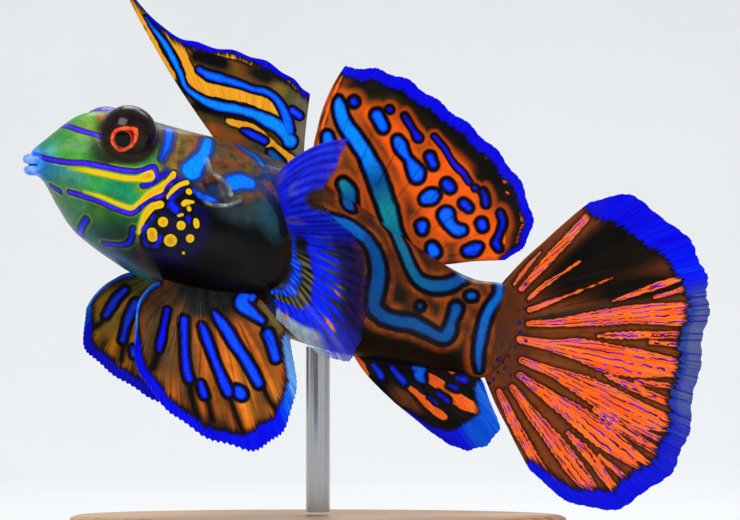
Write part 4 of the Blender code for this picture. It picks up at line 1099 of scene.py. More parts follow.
# Each fin's blue edge at places along it: line count, width in tenths of a millimetre, how azure, how dim
FIN_BAND = {
    "dorsal_fin_first": ((0, 0), (0.9, 1.5), (1.5, 3), (2.0, 6), (2.6, 2.5), (3.4, 3), (4, 6), (4.8, 2.5), (6, 3.5)),
    "dorsal_fin_second": ((0, 7, 0.3), (0.6, 10.5), (2, 12), (5, 10.5), (7, 8), (8, 4.5), (9, 2.5)),
    "tail_fin": ((0, 5), (0.5, 22), (1, 32), (1.6, 30, 0.05), (2.2, 27, 0.2), (3, 22, 0.35), (3.5, 19, 0.1, 0.75),
        (4.5, 20, 0, 0.9), (5.5, 20, 0, 0.8), (6.5, 20, 0, 0.25), (7.5, 20, 0.1), (8.5, 16, 0.1), (9.3, 11, 0.2),
        (10, 7, 0.3)),
    "anal_fin": ((0, 0), (1, 3), (2, 12, 0.05), (3, 22, 0.3), (4, 30, 0.7), (5, 22, 0.8), (6, 13, 0.75),
        (7, 9, 0.7)),
    "pelvic_fin_left": ((0, 5, 0.9), (1, 8, 0.1), (3, 8), (3.6, 11, 0.1), (4.4, 17, 0.2), (5, 13, 0.35), (6, 8, 1.1),
        (7, 7, 1.2)),
    "pelvic_fin_right": ((0, 6, 0.9), (1, 8, 0.15), (3, 9), (5, 8), (7, 6)),
    "pectoral_fin_left": ((0, -20), (12, -20)),
}
FIN_GROUND = {
    "dorsal_fin_first": ((76, 58, 20), (
        (240, 60, 60, 8, 22, 0.6, (92, 60, 16)), (238, 70, 34, 6, 22, 0.6, (120, 76, 22)),
        (262, 78, 14, 5, 28, 0.6, (104, 72, 30)), (212, 62, 20, 6, 20, 0.6, (34, 30, 10)),
        (262, 75, 18, 8, 24, 0.6, (12, 16, 14)), (285, 88, 12, 7, 40, 0.6, (44, 50, 32)),
        (281, 91, 10, 6, 30, 0.7, (132, 106, 36)), (292, 98, 8, 8, 30, 0.6, (80, 82, 36)),
        (246, 138, 26, 6, 28, 0.6, (110, 62, 28)), (222, 124, 22, 8, 20, 0.6, (78, 62, 24)),
        (224, 133, 8, 6, 20, 0.6, (112, 72, 24)), (213, 130, 9, 6, 30, 0.6, (156, 78, 22)),
        (234, 139, 14, 6, 24, 0.6, (124, 72, 26)), (262, 150, 16, 8, 30, 0.6, (60, 58, 42)),
        (300, 130, 9, 34, 0, 0.6, (116, 104, 90)), (190, 50, 11, 12, 0, 0.7, (150, 92, 36)))),
    "dorsal_fin_second": ((255, 96, 14), (
        (430, 112, 118, 26, 33, 0.45, (30, 18, 6)), (500, 186, 46, 22, 62, 0.45, (16, 12, 4)),
        (368, 92, 40, 13, 12, 0.6, (44, 40, 8)), (350, 106, 10, 30, -16, 0.6, (190, 90, 16)),
        (515, 235, 14, 24, 10, 0.5, (60, 34, 8)), (340, 190, 34, 62, 20, 0.4, (110, 60, 22)),
        (322, 150, 18, 60, 0, 0.5, (140, 86, 44)), (430, 268, 70, 13, 0, 0.5, (70, 34, 10)),
        (400, 250, 30, 40, -30, 0.5, (92, 44, 12)), (408, 205, 9, 60, -28, 0.6, (190, 78, 18)),
        (470, 236, 10, 8, 0, 0.6, (255, 106, 14)), (372, 142, 8, 26, -28, 0.6, (64, 36, 12)),
        (386, 166, 7, 20, -30, 0.6, (120, 54, 14)), (484, 178, 13, 12, 40, 0.6, (16, 12, 5)),
        (512, 232, 11, 20, 16, 0.6, (56, 30, 18)), (366, 200, 8, 20, -24, 0.6, (176, 74, 16)),
        (409, 94, 26, 9, 33, 0.45, (12, 10, 4)), (366, 89, 24, 7, 12, 0.5, (22, 20, 8)),
        (445, 122, 26, 9, 38, 0.45, (10, 8, 3)), (472, 150, 24, 9, 46, 0.45, (10, 8, 3)),
        (493, 177, 20, 8.5, 54, 0.45, (9, 7, 3)), (508, 206, 20, 7, 66, 0.45, (12, 8, 4)),
        (451, 252, 15, 12, 0, 0.7, (104, 48, 22)), (411, 216, 9, 16, -20, 0.7, (96, 42, 10)),
        (424, 150, 8, 16, -30, 0.8, (150, 62, 14)))),
    "tail_fin": ((112, 54, 20), (
        (628, 252, 96, 26, -22, 0.5, (14, 12, 6)), (600, 250, 70, 22, -42, 0.4, (6, 5, 4)),
        (640, 288, 64, 15, -8, 0.5, (8, 6, 3)), (556, 312, 44, 6, -10, 0.6, (40, 42, 34)),
        (512, 330, 22, 60, 0, 0.5, (92, 44, 16)))),
    "anal_fin": ((8, 7, 5), ((406, 400, 18, 7, 40, 0.5, (104, 54, 20)), (372, 352, 40, 7, 14, 0.5, (20, 14, 8)),
                             (462, 366, 20, 4, 30, 0.5, (60, 34, 10)))),
    "pelvic_fin_left": ((120, 68, 22), (
        (150, 342, 12, 26, 10, 0.5, (66, 46, 22)), (171, 388, 20, 6, 40, 0.5, (30, 22, 16)),
        (250, 429, 16, 6, -32, 0.5, (26, 18, 12)), (205, 300, 66, 22, 0, 0.5, (14, 17, 15)),
        (178, 350, 22, 50, -12, 0.5, (74, 52, 26)), (205, 425, 62, 13, 24, 0.5, (34, 26, 14)),
        (272, 316, 14, 20, 0, 0.5, (92, 78, 46)))),
    "pelvic_fin_right": ((138, 104, 38), ((140, 285, 30, 14, 0, 0.5, (40, 38, 18)),
                                        (120, 356, 44, 9, 30, 0.5, (40, 32, 10)))),
}
FIN_RAYS = {
    "dorsal_fin_first": ((92, 66, 22), FIN_GROUND["dorsal_fin_first"][1][1:]),
    "dorsal_fin_second": FIN_GROUND["dorsal_fin_second"],
    "tail_fin": ((132, 62, 20), (
        (628, 252, 96, 26, -22, 0.5, (22, 14, 7)), (600, 250, 70, 22, -42, 0.4, (20, 12, 6)),
        (640, 288, 64, 15, -8, 0.5, (14, 9, 5)), (512, 330, 22, 60, 0, 0.5, (96, 46, 18)))),
    "anal_fin": ((16, 12, 8), FIN_GROUND["anal_fin"][1]),
    "pelvic_fin_left": ((214, 104, 24), (
        (160, 338, 22, 50, -8, 0.5, (88, 66, 34)), (205, 300, 62, 24, 0, 0.5, (28, 32, 28)),
        (184, 350, 14, 50, -14, 0.5, (120, 76, 32)), (245, 385, 24, 50, -28, 0.6, (226, 120, 30)),
        (258, 398, 18, 24, -28, 0.6, (250, 146, 44)), (205, 430, 70, 14, 24, 0.5, (70, 48, 16)),
        (272, 320, 14, 24, 0, 0.5, (140, 110, 50)))),
    "pelvic_fin_right": ((216, 132, 14), ((140, 285, 34, 14, 0, 0.5, (96, 96, 30)),
                                          (104, 320, 12, 20, 20, 0.5, (160, 136, 24)))),
}
print("strokes on fins:", sum(len(table[key]) for table in (FIN_STROKES, FIN_STREAKS) for key in table))

# %% [markdown]
# ## Fin sheets
# A sheet is one closed skin: a net for each face, a tenth of a millimetre or so from the middle sheet, thicker
# at the root where flesh runs into it and sharp at the edge. The edge draws back a little between the tips of
# the rays, which gives the fins their fringe.

# %% Building a fin's net and its numbers
FINS = {
    name: dict(zip(("rows", "wave", "waves", "across", "steps", "teeth"), plan)) for name, plan in {
        "dorsal_fin_first": (FIRST_DORSAL, 0.35, 1.0, 34, 150, (0, 0)),
        "dorsal_fin_second": (SECOND_DORSAL, 0.45, 1.5, 18, 150, (4, 0.004)),
        "tail_fin": (TAIL_FIN, 0.8, 1.5, 24, 170, (4, 0.006)),
        "anal_fin": (ANAL_FIN, 0.3, 1.0, 18, 90, (4, 0.008)),
        "pelvic_fin_left": (PELVIC_LEFT, 0.5, 1.5, 32, 120, (8, 0.016)),
        "pelvic_fin_right": (PELVIC_RIGHT, 0.5, 1.5, 32, 110, (8, 0.016)),
        "pectoral_fin_left": (PECTORAL, 0.0, 1.0, 20, 120, (4, 0.007))}.items()
}
PELVIC_HEM = 0.14
SHEET_HALF, EDGE_THINNING, ROOT_HALF = 0.11, 0.055, 0.2
# How far a fin's foot swells beside its middle sheet, and over what distance from the root that fades
FOOT = {"tail_fin": (0.9, 2.8), "dorsal_fin_second": (0.6, 1.8), "anal_fin": (0.6, 1.8)}
PLAIN_FOOT = (0.34, 1.3)


def fringe(u, v, teeth):
    """How far v is drawn back towards the root between ray tips, and between the fine teeth of the edge."""
    count, depth = teeth
    deep = 0.020 * (1 - np.cos(2 * np.pi * u)) / 2 + depth * (1 - np.cos(2 * np.pi * count * u)) / 2
    return v * (1 - deep)


def fin_net(plan):
    rows = plan["rows"]
    last = len(rows) - 1
    u, v = np.meshgrid(np.linspace(0, last, last * plan["across"] + 1), np.linspace(0, 1, plan["steps"] + 1))
    middle = fin_points(rows, u, fringe(u, v, plan["teeth"]), plan["wave"], plan["waves"])
    return u, v, middle


def border_rows(points, half_width):
    """A border of the sheet as rows that distance_to reads."""
    return np.column_stack([points, np.full(len(points), half_width), np.zeros(len(points))])


def fin_numbers(name, u, v, middle):
    """Everything the fin's material reads, worked out on the middle sheet."""
    flat, tree = middle.reshape(-1, 3), tree_over(middle)
    strokes = PEDUNCLE_DOTS if name == "tail_fin" else FIN_STROKES.get(name, ())
    rows = strokes_on(tree, strokes, float(flat[:, 1].mean()))
    blue, tint = distance_to(flat, rows)
    orange = distance_to(flat, strokes_on(tree, FIN_STREAKS.get(name, ())))[0]
    shade = smooth_step(0.55, -0.15, distance_to(flat, strokes_on(tree, FIN_SHADOWS.get(name, ())))[0])
    if name == "dorsal_fin_first":  # the orange hem before the first stripe is kept free of its outline
        hem = distance_to(flat, strokes_on(tree, FIRST_HEM))[0]
        orange = np.minimum(orange, hem)
        blue = blue + np.where(blue > 0.04, 0.6, 0.0) * smooth_step(0.12, -0.04, hem)
    at, widths, azure, dim = np.array([(*row, 0, 0)[:4] for row in FIN_BAND[name]], float).T
    band = distance_to(flat, border_rows(middle[-1], np.interp(u[-1], at, widths) / 10))[0]
    if name.startswith("pelvic"):  # a thin hem also runs up the first ray
        hem = distance_to(flat, border_rows(middle[len(middle) // 4:, 0], PELVIC_HEM))[0]
        band = np.minimum(band, hem)
    x, y = on_drawing(flat)
    clear = np.zeros(len(x))
    if name.startswith("pectoral"):
        ground, clear = pectoral_colours(u.ravel(), v.ravel())
        between = smooth_step(1.25, 0.8, np.hypot((x - 326) / 19, (y - 200) / 12))
        ground = ground * (1 - between[:, None]) + linear((58, 42, 22)) * between[:, None]
        clear = np.maximum(clear, 0.6 * between)
        streak = ground
    else:
        ground, streak = (washes(x, y, *table[name]) for table in (FIN_GROUND, FIN_RAYS))
    if name.startswith("tail"):
        orange = orange + beads(u.ravel(), v.ravel())
    if name == "dorsal_fin_second":
        foot = smooth_step(0.34, 0.13, v.ravel())[:, None] * 0.9
        ground, streak = (colours * (1 - foot) + linear((88, 44, 14)) * foot for colours in (ground, streak))
    dim = np.interp(u.ravel(), at, dim)
    azure = np.interp(u.ravel(), at, azure)
    thin = smooth_step(0.2, -1.0, band) * (0.35 * dim + 0.4 * smooth_step(1.0, 1.3, azure))
    return {"blue_mm": blue, "tint": tint, "orange_mm": orange, "band_mm": band, "azure": azure, "dim": dim,
            "shade": shade, "clear": np.clip(clear + thin, 0, 0.8), "line": u.ravel(), "reach": v.ravel(),
            "ground": ground, "streak": streak}


def beads(u, v):
    """The tail's orange fans have beaded borders: their distance swells and shrinks along the rays."""
    share = smooth_step(0.3, 0.4, v) * smooth_step(0.74, 0.6, v) * smooth_step(3.2, 3.6, u)
    return -0.05 * share * np.sin(2 * np.pi * (v * 26 + 0.7 * u))


def pectoral_colours(u, v):
    """The pectoral fin's bands lie in arcs round its fleshy root and break up into two fingers a ray."""
    waver = np.sin(2.1 * u + 7 * v) + np.sin(5.3 * u - 11 * v + 1)
    patch = smooth_step(-0.6, 1.4, np.sin(4.3 * u + 3.0 * v) + np.sin(2.7 * u - 9 * v + 2))
    ray = 0.5 + 0.5 * np.cos(4 * np.pi * (u + 0.05 * waver))
    arc = v - np.interp(u, (3, 4.2, 6.6, 9.6, 12), (-0.04, -0.03, 0.0, 0.10, 0.16)) + 0.012 * waver
    colour = np.broadcast_to(linear((22, 28, 22)), (*u.shape, 3)).copy()

    def lay(share, tone):
        colour[:] = colour * (1 - share[:, None]) + linear(tone) * share[:, None]

    def ring(start, end, soft=0.025):
        return smooth_step(start - soft, start + soft, arc) * smooth_step(end + soft, end - soft, arc)

    lay(ring(0.07, 0.19), (0, 40, 190))
    lay(ring(0.09, 0.18) * smooth_step(0.3, 0.8, ray) * smooth_step(5.2, 6.6, u), (16, 96, 250))
    lay(ring(0.19, 0.36, 0.04), (10, 12, 12))
    lay(ring(0.20, 0.34, 0.04) * smooth_step(0.2, 0.8, 1 - ray) * smooth_step(5.4, 6.8, u), (104, 98, 54))
    lay(ring(0.36, 1.5, 0.04), (14, 14, 60))
    lay(ring(0.38, 0.72, 0.06) * smooth_step(0.4, 1.0, 1 - ray) * (0.25 + 0.75 * patch), (74, 84, 40))
    lay(ring(0.54, 0.66, 0.05) * smooth_step(0.5, 0.9, 1 - ray) * smooth_step(0.75, 0.9, patch)
        * smooth_step(6.4, 7.2, u), (224, 128, 60))
    taper = 0.02 + 0.85 * smooth_step(0.42, 0.78, arc)
    lay(ring(0.34, 0.70, 0.04) * smooth_step(taper - 0.25, taper + 0.2, ray), (4, 34, 255))
    lay(ring(0.66, 1.5, 0.08) * smooth_step(0.2, 0.9, ray) * 0.3, (56, 24, 120))
    lay(smooth_step(0.62, 0.80, arc) * smooth_step(7.6, 8.8, u) * smooth_step(10.8, 9.8, u), (34, 44, 196))
    pale = smooth_step(0.56, 0.66, arc) * smooth_step(9.4, 10.4, u)
    lay(pale, (176, 200, 214))
    lay(pale * smooth_step(0.5, 0.9, ray) * ring(0.58, 0.72) * smooth_step(0.3, 0.8, patch), (226, 160, 90))
    lobe = smooth_step(4.9, 3.4, u)
    fine = 0.5 + 0.5 * np.cos(2 * np.pi * (3 * u + 0.25 * np.sin(1.9 * u) + 0.05 * np.sin(9 * v)))
    lay(lobe, (20, 26, 222))
    lay(lobe * smooth_step(0.2, 1.0, fine) * smooth_step(0.1, 0.5, v) * (0.3 + 0.4 * patch), (40, 74, 255))
    lay(lobe * smooth_step(0.6, 0.0, fine) * smooth_step(0.15, 0.4, v) * (0.5 - 0.35 * patch), (6, 4, 130))
    lay(lobe * ring(0.12, 0.5, 0.1) * smooth_step(0.6, 0.95, patch) * 0.3, (110, 96, 70))
    lay(smooth_step(0.22, 0.08, v) * smooth_step(5.6, 4.6, u) * 0.8, (10, 40, 96))
    clear = np.clip(0.55 * smooth_step(0.74, 1.0, v) * (1 - 0.4 * lobe) + 0.42 * pale
                    + 0.15 * lobe * smooth_step(0.45, 0.9, v), 0, 0.72)
    return colour, clear


def sheet_piece(name, u, v, middle, numbers, flip=None):
    """The closed sheet of a fin from its net."""
    root = np.linalg.norm(middle - middle[:1], axis=-1)
    swollen, reach = FOOT.get(name, PLAIN_FOOT)
    middle_most = np.sqrt(np.clip(1 - (2 * u / u.max() - 1) ** 2, 0.0, 1.0)) if name in FOOT else 1.0
    foot = (ROOT_HALF + (swollen - ROOT_HALF) * middle_most) * np.exp(-(root / reach) ** 2)
    half = SHEET_HALF + foot - EDGE_THINNING * smooth_step(0.9, 1.0, v)
    side = net_normals(middle) * half[..., None]
    points = np.concatenate([(middle + side).reshape(-1, 3), (middle - side).reshape(-1, 3)])
    if flip is not None:
        points = flip(points)
    rows, columns = u.shape
    count = rows * columns
    face = net_faces(rows, columns)
    border = np.concatenate([np.arange(columns), np.arange(1, rows) * columns + columns - 1,
                             (rows - 1) * columns + np.arange(columns - 2, -1, -1),
                             np.arange(rows - 2, 0, -1) * columns])
    after = np.roll(border, -1)
    rim = np.stack([after, border, border + count, after + count], -1)
    faces = np.concatenate([face, face[:, ::-1] + count, rim]).tolist()
    piece = make_piece(name + "_sheet", points, faces,
                       {key: np.concatenate([value, value]) for key, value in numbers.items()})
    across = u.ravel() / u.max() * FACE_SHARE + UV_MARGIN
    give_uv(piece, np.concatenate([across, 1 - across]), np.tile(v.ravel() * UV_SHARE + UV_MARGIN, 2))
    return piece


# %% [markdown]
# ## Rays by Geometry Nodes
# A soft ray leaves its root as one rod, forks, and its branches fork again before the edge. Their paths are
# plain edges with a radius stored on each point. One node tree turns any such set of paths into round, closed
# tubes: Mesh to Curve, a circle swept along it and scaled by the radius, and a material. Each point of a tube
# then takes the fin's numbers from the net beside it.

# %% Ray paths and the tree that makes tubes of them
RAY_SIDES = 6
SPINE_RADII = {0: 0.26, 2: 0.22, 4: 0.20, 5: 0.16}  # of the first dorsal fin, by line
FORK, TWIG = 0.125, 0.062  # how far branches part, in line counts


def ray_tree():
    tree = bpy.data.node_groups.new("fin_rays", "GeometryNodeTree")
    given = {label: tree.interface.new_socket(label, in_out="INPUT", socket_type="NodeSocket" + kind)
             for label, kind in (("Geometry", "Geometry"), ("Sides", "Int"), ("Thickness", "Float"),
                                 ("Finish", "Material"))}
    given["Sides"].default_value, given["Thickness"].default_value = RAY_SIDES, 1.0
    tree.interface.new_socket("Geometry", in_out="OUTPUT", socket_type="NodeSocketGeometry")
    start, to_curve, stored, scale, radius, circle, sweep, smooth, real, dress, end = (
        tree.nodes.new(kind) for kind in (
            "NodeGroupInput", "GeometryNodeMeshToCurve", "GeometryNodeInputNamedAttribute",
            "ShaderNodeMath", "GeometryNodeSetCurveRadius", "GeometryNodeCurvePrimitiveCircle",
            "GeometryNodeCurveToMesh", "GeometryNodeSetShadeSmooth", "GeometryNodeRealizeInstances",
            "GeometryNodeSetMaterial", "NodeGroupOutput"))
    stored.data_type = "FLOAT"
    stored.inputs["Name"].default_value = "radius"
    scale.operation = "MULTIPLY"
    circle.inputs["Radius"].default_value = 1.0
    sweep.inputs["Fill Caps"].default_value = True
    for source, output, target, socket in (
            (start, "Geometry", to_curve, 0), (stored, 0, scale, 0), (start, "Thickness", scale, 1),
            (to_curve, 0, radius, "Curve"), (scale, 0, radius, "Radius"), (start, "Sides", circle, "Resolution"),
            (radius, 0, sweep, "Curve"), (circle, 0, sweep, "Profile Curve"), (scale, 0, sweep, "Scale"),
            (sweep, 0, smooth, 0), (smooth, 0, real, 0), (real, 0, dress, "Geometry"),
            (start, "Finish", dress, "Material"), (dress, 0, end, 0)):
        tree.links.new(source.outputs[output], target.inputs[socket])
    return tree, {label: socket.identifier for label, socket in given.items()}


tube_tree, tube_keys = ray_tree()


def ray_paths(plan):
    """Paths as (u, v, radius) rows: trunks, then branches that fork twice, and short rays between them."""
    paths = []
    last = len(plan["rows"]) - 1
    if plan["rows"] is FIRST_DORSAL:
        v = np.linspace(0, 1.0, 70)
        return [np.stack([np.full_like(v, k), v, thick * (1 - 0.72 * v)], -1) for k, thick in SPINE_RADII.items()]
    for k in range(last + 1):
        for far in (-1, 1):
            for near in (-1, 1):
                if (k == 0 and far < 0) or (k == last and far > 0):
                    continue
                v = np.linspace(0.0 if (far > 0 or k == last) and near > 0 else 0.26, 1.0, 60)
                u = k + far * FORK * smooth_step(0.28, 0.72, v) + near * TWIG * smooth_step(0.6, 0.95, v)
                thick = 0.19 - 0.045 * smooth_step(0.2, 0.6, v) - 0.07 * smooth_step(0.5, 1.0, v)
                paths.append(np.stack([np.clip(u, 0, last), v, thick], -1))
        if k < last:
            for side in (-1, 1):
                v = np.linspace(0.50, 1.0, 36)
                u = k + 0.5 + side * TWIG * smooth_step(0.55, 0.95, v)
                paths.append(np.stack([u, v, 0.13 - 0.05 * smooth_step(0.5, 1.0, v)], -1))
    return paths


def spread_on_net(net, values, points, tree, columns):
    """Values of the fin's net at points beside it, blended inside the face they lie over."""
    faces, a, b = [], [], []
    flat = net.reshape(-1, 3)
    for point in points:
        hit, _, index, _ = tree.find_nearest(Vector(point))
        r, c = divmod(index, columns - 1)
        corner = flat[r * columns + c]
        right, down = flat[r * columns + c + 1] - corner, flat[(r + 1) * columns + c] - corner
        step = np.array(hit) - corner
        faces.append(r * columns + c)
        a.append(min(1.0, max(0.0, float(step @ right / max(right @ right, 1e-12)))))
        b.append(min(1.0, max(0.0, float(step @ down / max(down @ down, 1e-12)))))
    faces, a, b = np.array(faces), np.array(a), np.array(b)
    found = {}
    for key, value in values.items():
        s, t = (a[:, None], b[:, None]) if value.ndim == 2 else (a, b)
        found[key] = ((value[faces] * (1 - s) + value[faces + 1] * s) * (1 - t)
                      + (value[faces + columns] * (1 - s) + value[faces + columns + 1] * s) * t)
    return found


def rays_piece(name, plan, u, middle, numbers, finish, flip=None, share=1.0):
    points, edges, radius = [], [], []
    for path in ray_paths(plan):
        reach = (fringe(path[:, 0], path[:, 1], plan["teeth"]) + 0.003) * share
        line = fin_points(plan["rows"], path[:, 0], reach, plan["wave"], plan["waves"])
        edges += [(len(points) + k, len(points) + k + 1) for k in range(len(line) - 1)]
        points += line.tolist()
        radius += path[:, 2].tolist()
    mesh = bpy.data.meshes.new(name)
    mesh.from_pydata((np.array(points) * MM).tolist(), edges, [])
    store(mesh, "radius", np.array(radius, np.float32) * MM)
    paths = show(name + "_paths", mesh)
    step = paths.modifiers.new("tubes", "NODES")
    step.node_group = tube_tree
    for label, value in (("Sides", RAY_SIDES), ("Thickness", 1.0), ("Finish", finish)):
        step[tube_keys[label]] = value
    graph = bpy.context.evaluated_depsgraph_get()
    made = bpy.data.meshes.new_from_object(paths.evaluated_get(graph), depsgraph=graph)
    bpy.data.objects.remove(paths, do_unlink=True)
    made.name = name + "_rays"
    at = np.empty(len(made.vertices) * 3)
    made.vertices.foreach_get("co", at)
    at = at.reshape(-1, 3) / MM
    found = spread_on_net(middle, numbers, at, tree_over(middle), u.shape[1])
    for key, value in found.items():
        store(made, key, value)
    if flip is not None:
        made.vertices.foreach_set("co", (flip(at) * MM).ravel())
    face_outwards(made)
    piece = show(name + "_rays", made)
    give_uv(piece, found["line"] / u.max() * FACE_SHARE + UV_MARGIN, found["reach"] * UV_SHARE + UV_MARGIN)
    return piece


print("fins planned:", ", ".join(FINS))

# %% [markdown]
# ## Fin material
# The same marking group draws the fins' spots. Along the rays run fine streaks, made by a noise that is
# stretched from root to edge in the fin's own coordinates, so that they fan out as the rays do. The tail's
# orange fans carry thin violet lines. The blue edge is laid last.

# %% Fin material


def fin_material(name, violet_lines=0.0, rim_strength=0.0, outline=0.38, warm=(255, 86, 18),
                 warm_light=(255, 122, 40)):
    made, wire, fin_in = new_material(name, Coat_Roughness=0.15, Specular_IOR_Level=0.06)
    u, v = wire.number("line"), wire.number("reach")
    fan = wire.add("ShaderNodeCombineXYZ", {"X": wire.times(u, 14.0), "Y": wire.times(v, 2.6)})
    streaks = wire.add("ShaderNodeTexNoise", {"Vector": fan, "Scale": 1.0, "Detail": 3.0}, "Fac")
    broad = wire.add("ShaderNodeTexNoise", {"Vector": fan, "Scale": 0.22, "Detail": 2.0}, "Fac")
    ray = wire.times(wire.math("COSINE", wire.times(u, 2 * math.pi)), 0.45)
    ray = wire.sway(broad, 3.4, wire.sway(streaks, 1.6, ray))
    base = wire.mix(wire.step(ray, -0.8, 0.8), wire.colour("ground"), wire.colour("streak"))
    base = wire.tinted(wire.step(wire.noise(0.9, 3.0), 0.40, 0.75, 0.0, 0.5), base, 0.45, 0.40, 0.34)
    base = wire.tinted(wire.step(streaks, 0.55, 0.75, 0.0, 0.3), base, 1.45, 1.35, 1.1)
    base = wire.mix(wire.number("shade"), base, paint(6, 5, 5))
    orange = wire.sway(wire.noise(0.8, 3.0), 0.36, wire.number("orange_mm"))
    base = wire.mix(wire.step(orange, 0.42, 0.1, 0.0, 0.75), base, paint(16, 8, 4))
    base = wire.mix(wire.step(orange, 0.06, -0.05), base,
                    wire.mix(wire.step(streaks, 0.35, 0.65), paint(*warm), paint(*warm_light)))
    if violet_lines:
        bent = wire.sway(wire.noise(1.3, 2.0), 0.13, u)
        thin = wire.step(wire.math("PINGPONG", wire.times(bent, violet_lines), 0.5), 0.14, 0.08)
        broken = wire.step(wire.noise(0.9, 2.0), 0.42, 0.48)
        violet = wire.times(wire.times(thin, broken), wire.step(orange, 0.02, -0.06))
        hem = wire.times(wire.step(orange, -0.26, -0.21), wire.step(orange, -0.11, -0.16))
        hem = wire.times(hem, wire.step(wire.noise(1.6, 2.0), 0.46, 0.54))
        violet = wire.math("MAXIMUM", violet, hem)
        base = wire.mix(violet, base, wire.mix(wire.step(wire.noise(2.0, 1.0), 0.4, 0.6), paint(96, 24, 190),
                                               paint(36, 4, 60)))
    core, dark, rim, blue = use_group(
        wire, marking, {"Distance": wire.number("blue_mm"), "Tint": wire.number("tint"),
                        "Outline": wire.step(wire.number("tint"), 0.05, 0.35, 0.06, outline),
                        "Wobble": 0.11, "Shrink": 0.07}, ("Core", "Dark", "Rim", "Colour"))
    base = wire.mix(wire.times(rim, rim_strength), base, paint(255, 96, 14))
    base = wire.mix(dark, base, paint(4, 3, 4))
    base = wire.mix(core, base, blue)
    band = wire.sway(streaks, 2.2 if violet_lines else 1.2, wire.number("band_mm"))
    base = wire.mix(wire.step(band, 0.8, 0.1), base, paint(6, 5, 8))
    fine_fan = wire.add("ShaderNodeCombineXYZ", {"X": wire.times(u, 34.0), "Y": v})
    fine = wire.add("ShaderNodeTexNoise", {"Vector": fine_fan, "Scale": 1.0, "Detail": 2.0}, "Fac")
    azure = wire.sway(streaks, 0.7, wire.sway(broad, 0.8, wire.number("azure")))
    edge = wire.ramp(azure, ((0.0, paint(4, 0, 236)), (0.35, paint(0, 24, 255)), (0.8, paint(0, 104, 240)),
                             (1.0, paint(110, 176, 250))))
    edge = wire.mix(wire.number("dim"), edge, wire.mix(wire.step(streaks, 0.4, 0.6), paint(44, 78, 130),
                                                       paint(16, 34, 150)))
    edge = wire.tinted(wire.step(fine, 0.58, 0.42, 0.0, 0.6), edge, 0.3, 0.3, 0.42)
    wire.feed(fin_in["Base Color"], wire.mix(wire.step(band, 0.18, -0.16), base, edge))
    height, rough, coat = use_group(wire, slime, {"Height": 0.35, "Gloss": 0.26},
                                    ("Height", "Roughness", "Coat"))
    wire.feed(fin_in["Roughness"], rough)
    wire.feed(fin_in["Coat Weight"], wire.times(coat, 0.6))
    wire.feed(fin_in["Normal"], wire.bump(wire.math("MULTIPLY_ADD", streaks, 0.9, height), 0.4, 0.1))
    wire.feed(fin_in["Alpha"], wire.math("SUBTRACT", 1.0, wire.number("clear")))
    return made


FIN_FINISH = {
    "dorsal_fin_first": fin_material("banded_fin", outline=0.25, warm=(236, 146, 26), warm_light=(246, 176, 40)),
    "dorsal_fin_second": fin_material("spotted_fin", rim_strength=0.35),
    "tail_fin": fin_material("tail_fin_skin", violet_lines=6.0),
}
plain_finish = fin_material("barred_fin")
print("fin finishes:", ", ".join(FIN_FINISH), "and a plain one")

# %% [markdown]
# Each fin is now built and put in its solid's place. The right pectoral is the left one's mirror image in the
# body's middle plane, a little shorter, as in the solids.

# %% Build the fins
mirror_at = place(MIRROR_X, 0.0, bend(MIRROR_X))
mirror_way = sideways(MIRROR_X)


def mirrored(points):
    away = (points - mirror_at) @ mirror_way
    return points - 2 * away[:, None] * mirror_way


def build_fin(name, node_name, flip=None, share=1.0):
    plan, finish = FINS[name], FIN_FINISH.get(name, plain_finish)
    u, v, middle = fin_net(plan)
    numbers = fin_numbers(name, u, v, middle)
    if share < 1.0:
        middle = fin_points(plan["rows"], u, fringe(u, v, plan["teeth"]) * share, plan["wave"], plan["waves"])
    sheet = sheet_piece(node_name, u, v, middle, numbers, flip)
    sheet.data.materials.append(finish)
    rays = rays_piece(node_name, plan, u, middle, numbers, finish, flip, share)
    for piece in (sheet, rays):
        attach(piece, "root")
        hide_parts(node_name)
    print(node_name, [triangles(piece) for piece in (sheet, rays)])


for fin_name in FINS:
    build_fin(fin_name, fin_name)
build_fin("pectoral_fin_left", "pectoral_fin_right", mirrored, RIGHT_PECTORAL_SHARE)

# %% [markdown]
# ## Eyes
# The eye is a dark ball with an iris like a small octagonal window of red and orange round a black pupil. The
# ball is a net of rings round the line of sight, so the iris can follow its own angles. Each point stores how
# far out it lies, counted in iris radii, where the radius changes round the window's corners.

# %% Eyeballs
IRIS_CORNERS = ((-180, 1.33), (-138, 1.36), (-115, 1.50), (-90, 1.34), (-65, 1.20), (-18, 1.34), (8, 1.62),
                (35, 1.86), (60, 1.42), (90, 1.24), (135, 1.28), (180, 1.33))
PUPIL_RADIUS = 0.79
IRIS_X, IRIS_D = 12.26, 13.92
FAR_EYE_LINE = ((VIOLET, 5, ((84, 110.2), (95, 109.4), (104, 109.6), (113, 109))),)


def eye_sight():
    """Which way the near eye looks: through its iris, as placed on the drawing."""
    centre = eye_centre(1)
    ray = unit(place(IRIS_X, IRIS_D, 0.0) - EYE)
    to = centre - EYE
    mid = ray @ to
    return unit(EYE + ray * (mid - math.sqrt(EYE_RADIUS ** 2 - (to @ to - mid ** 2))) - centre)


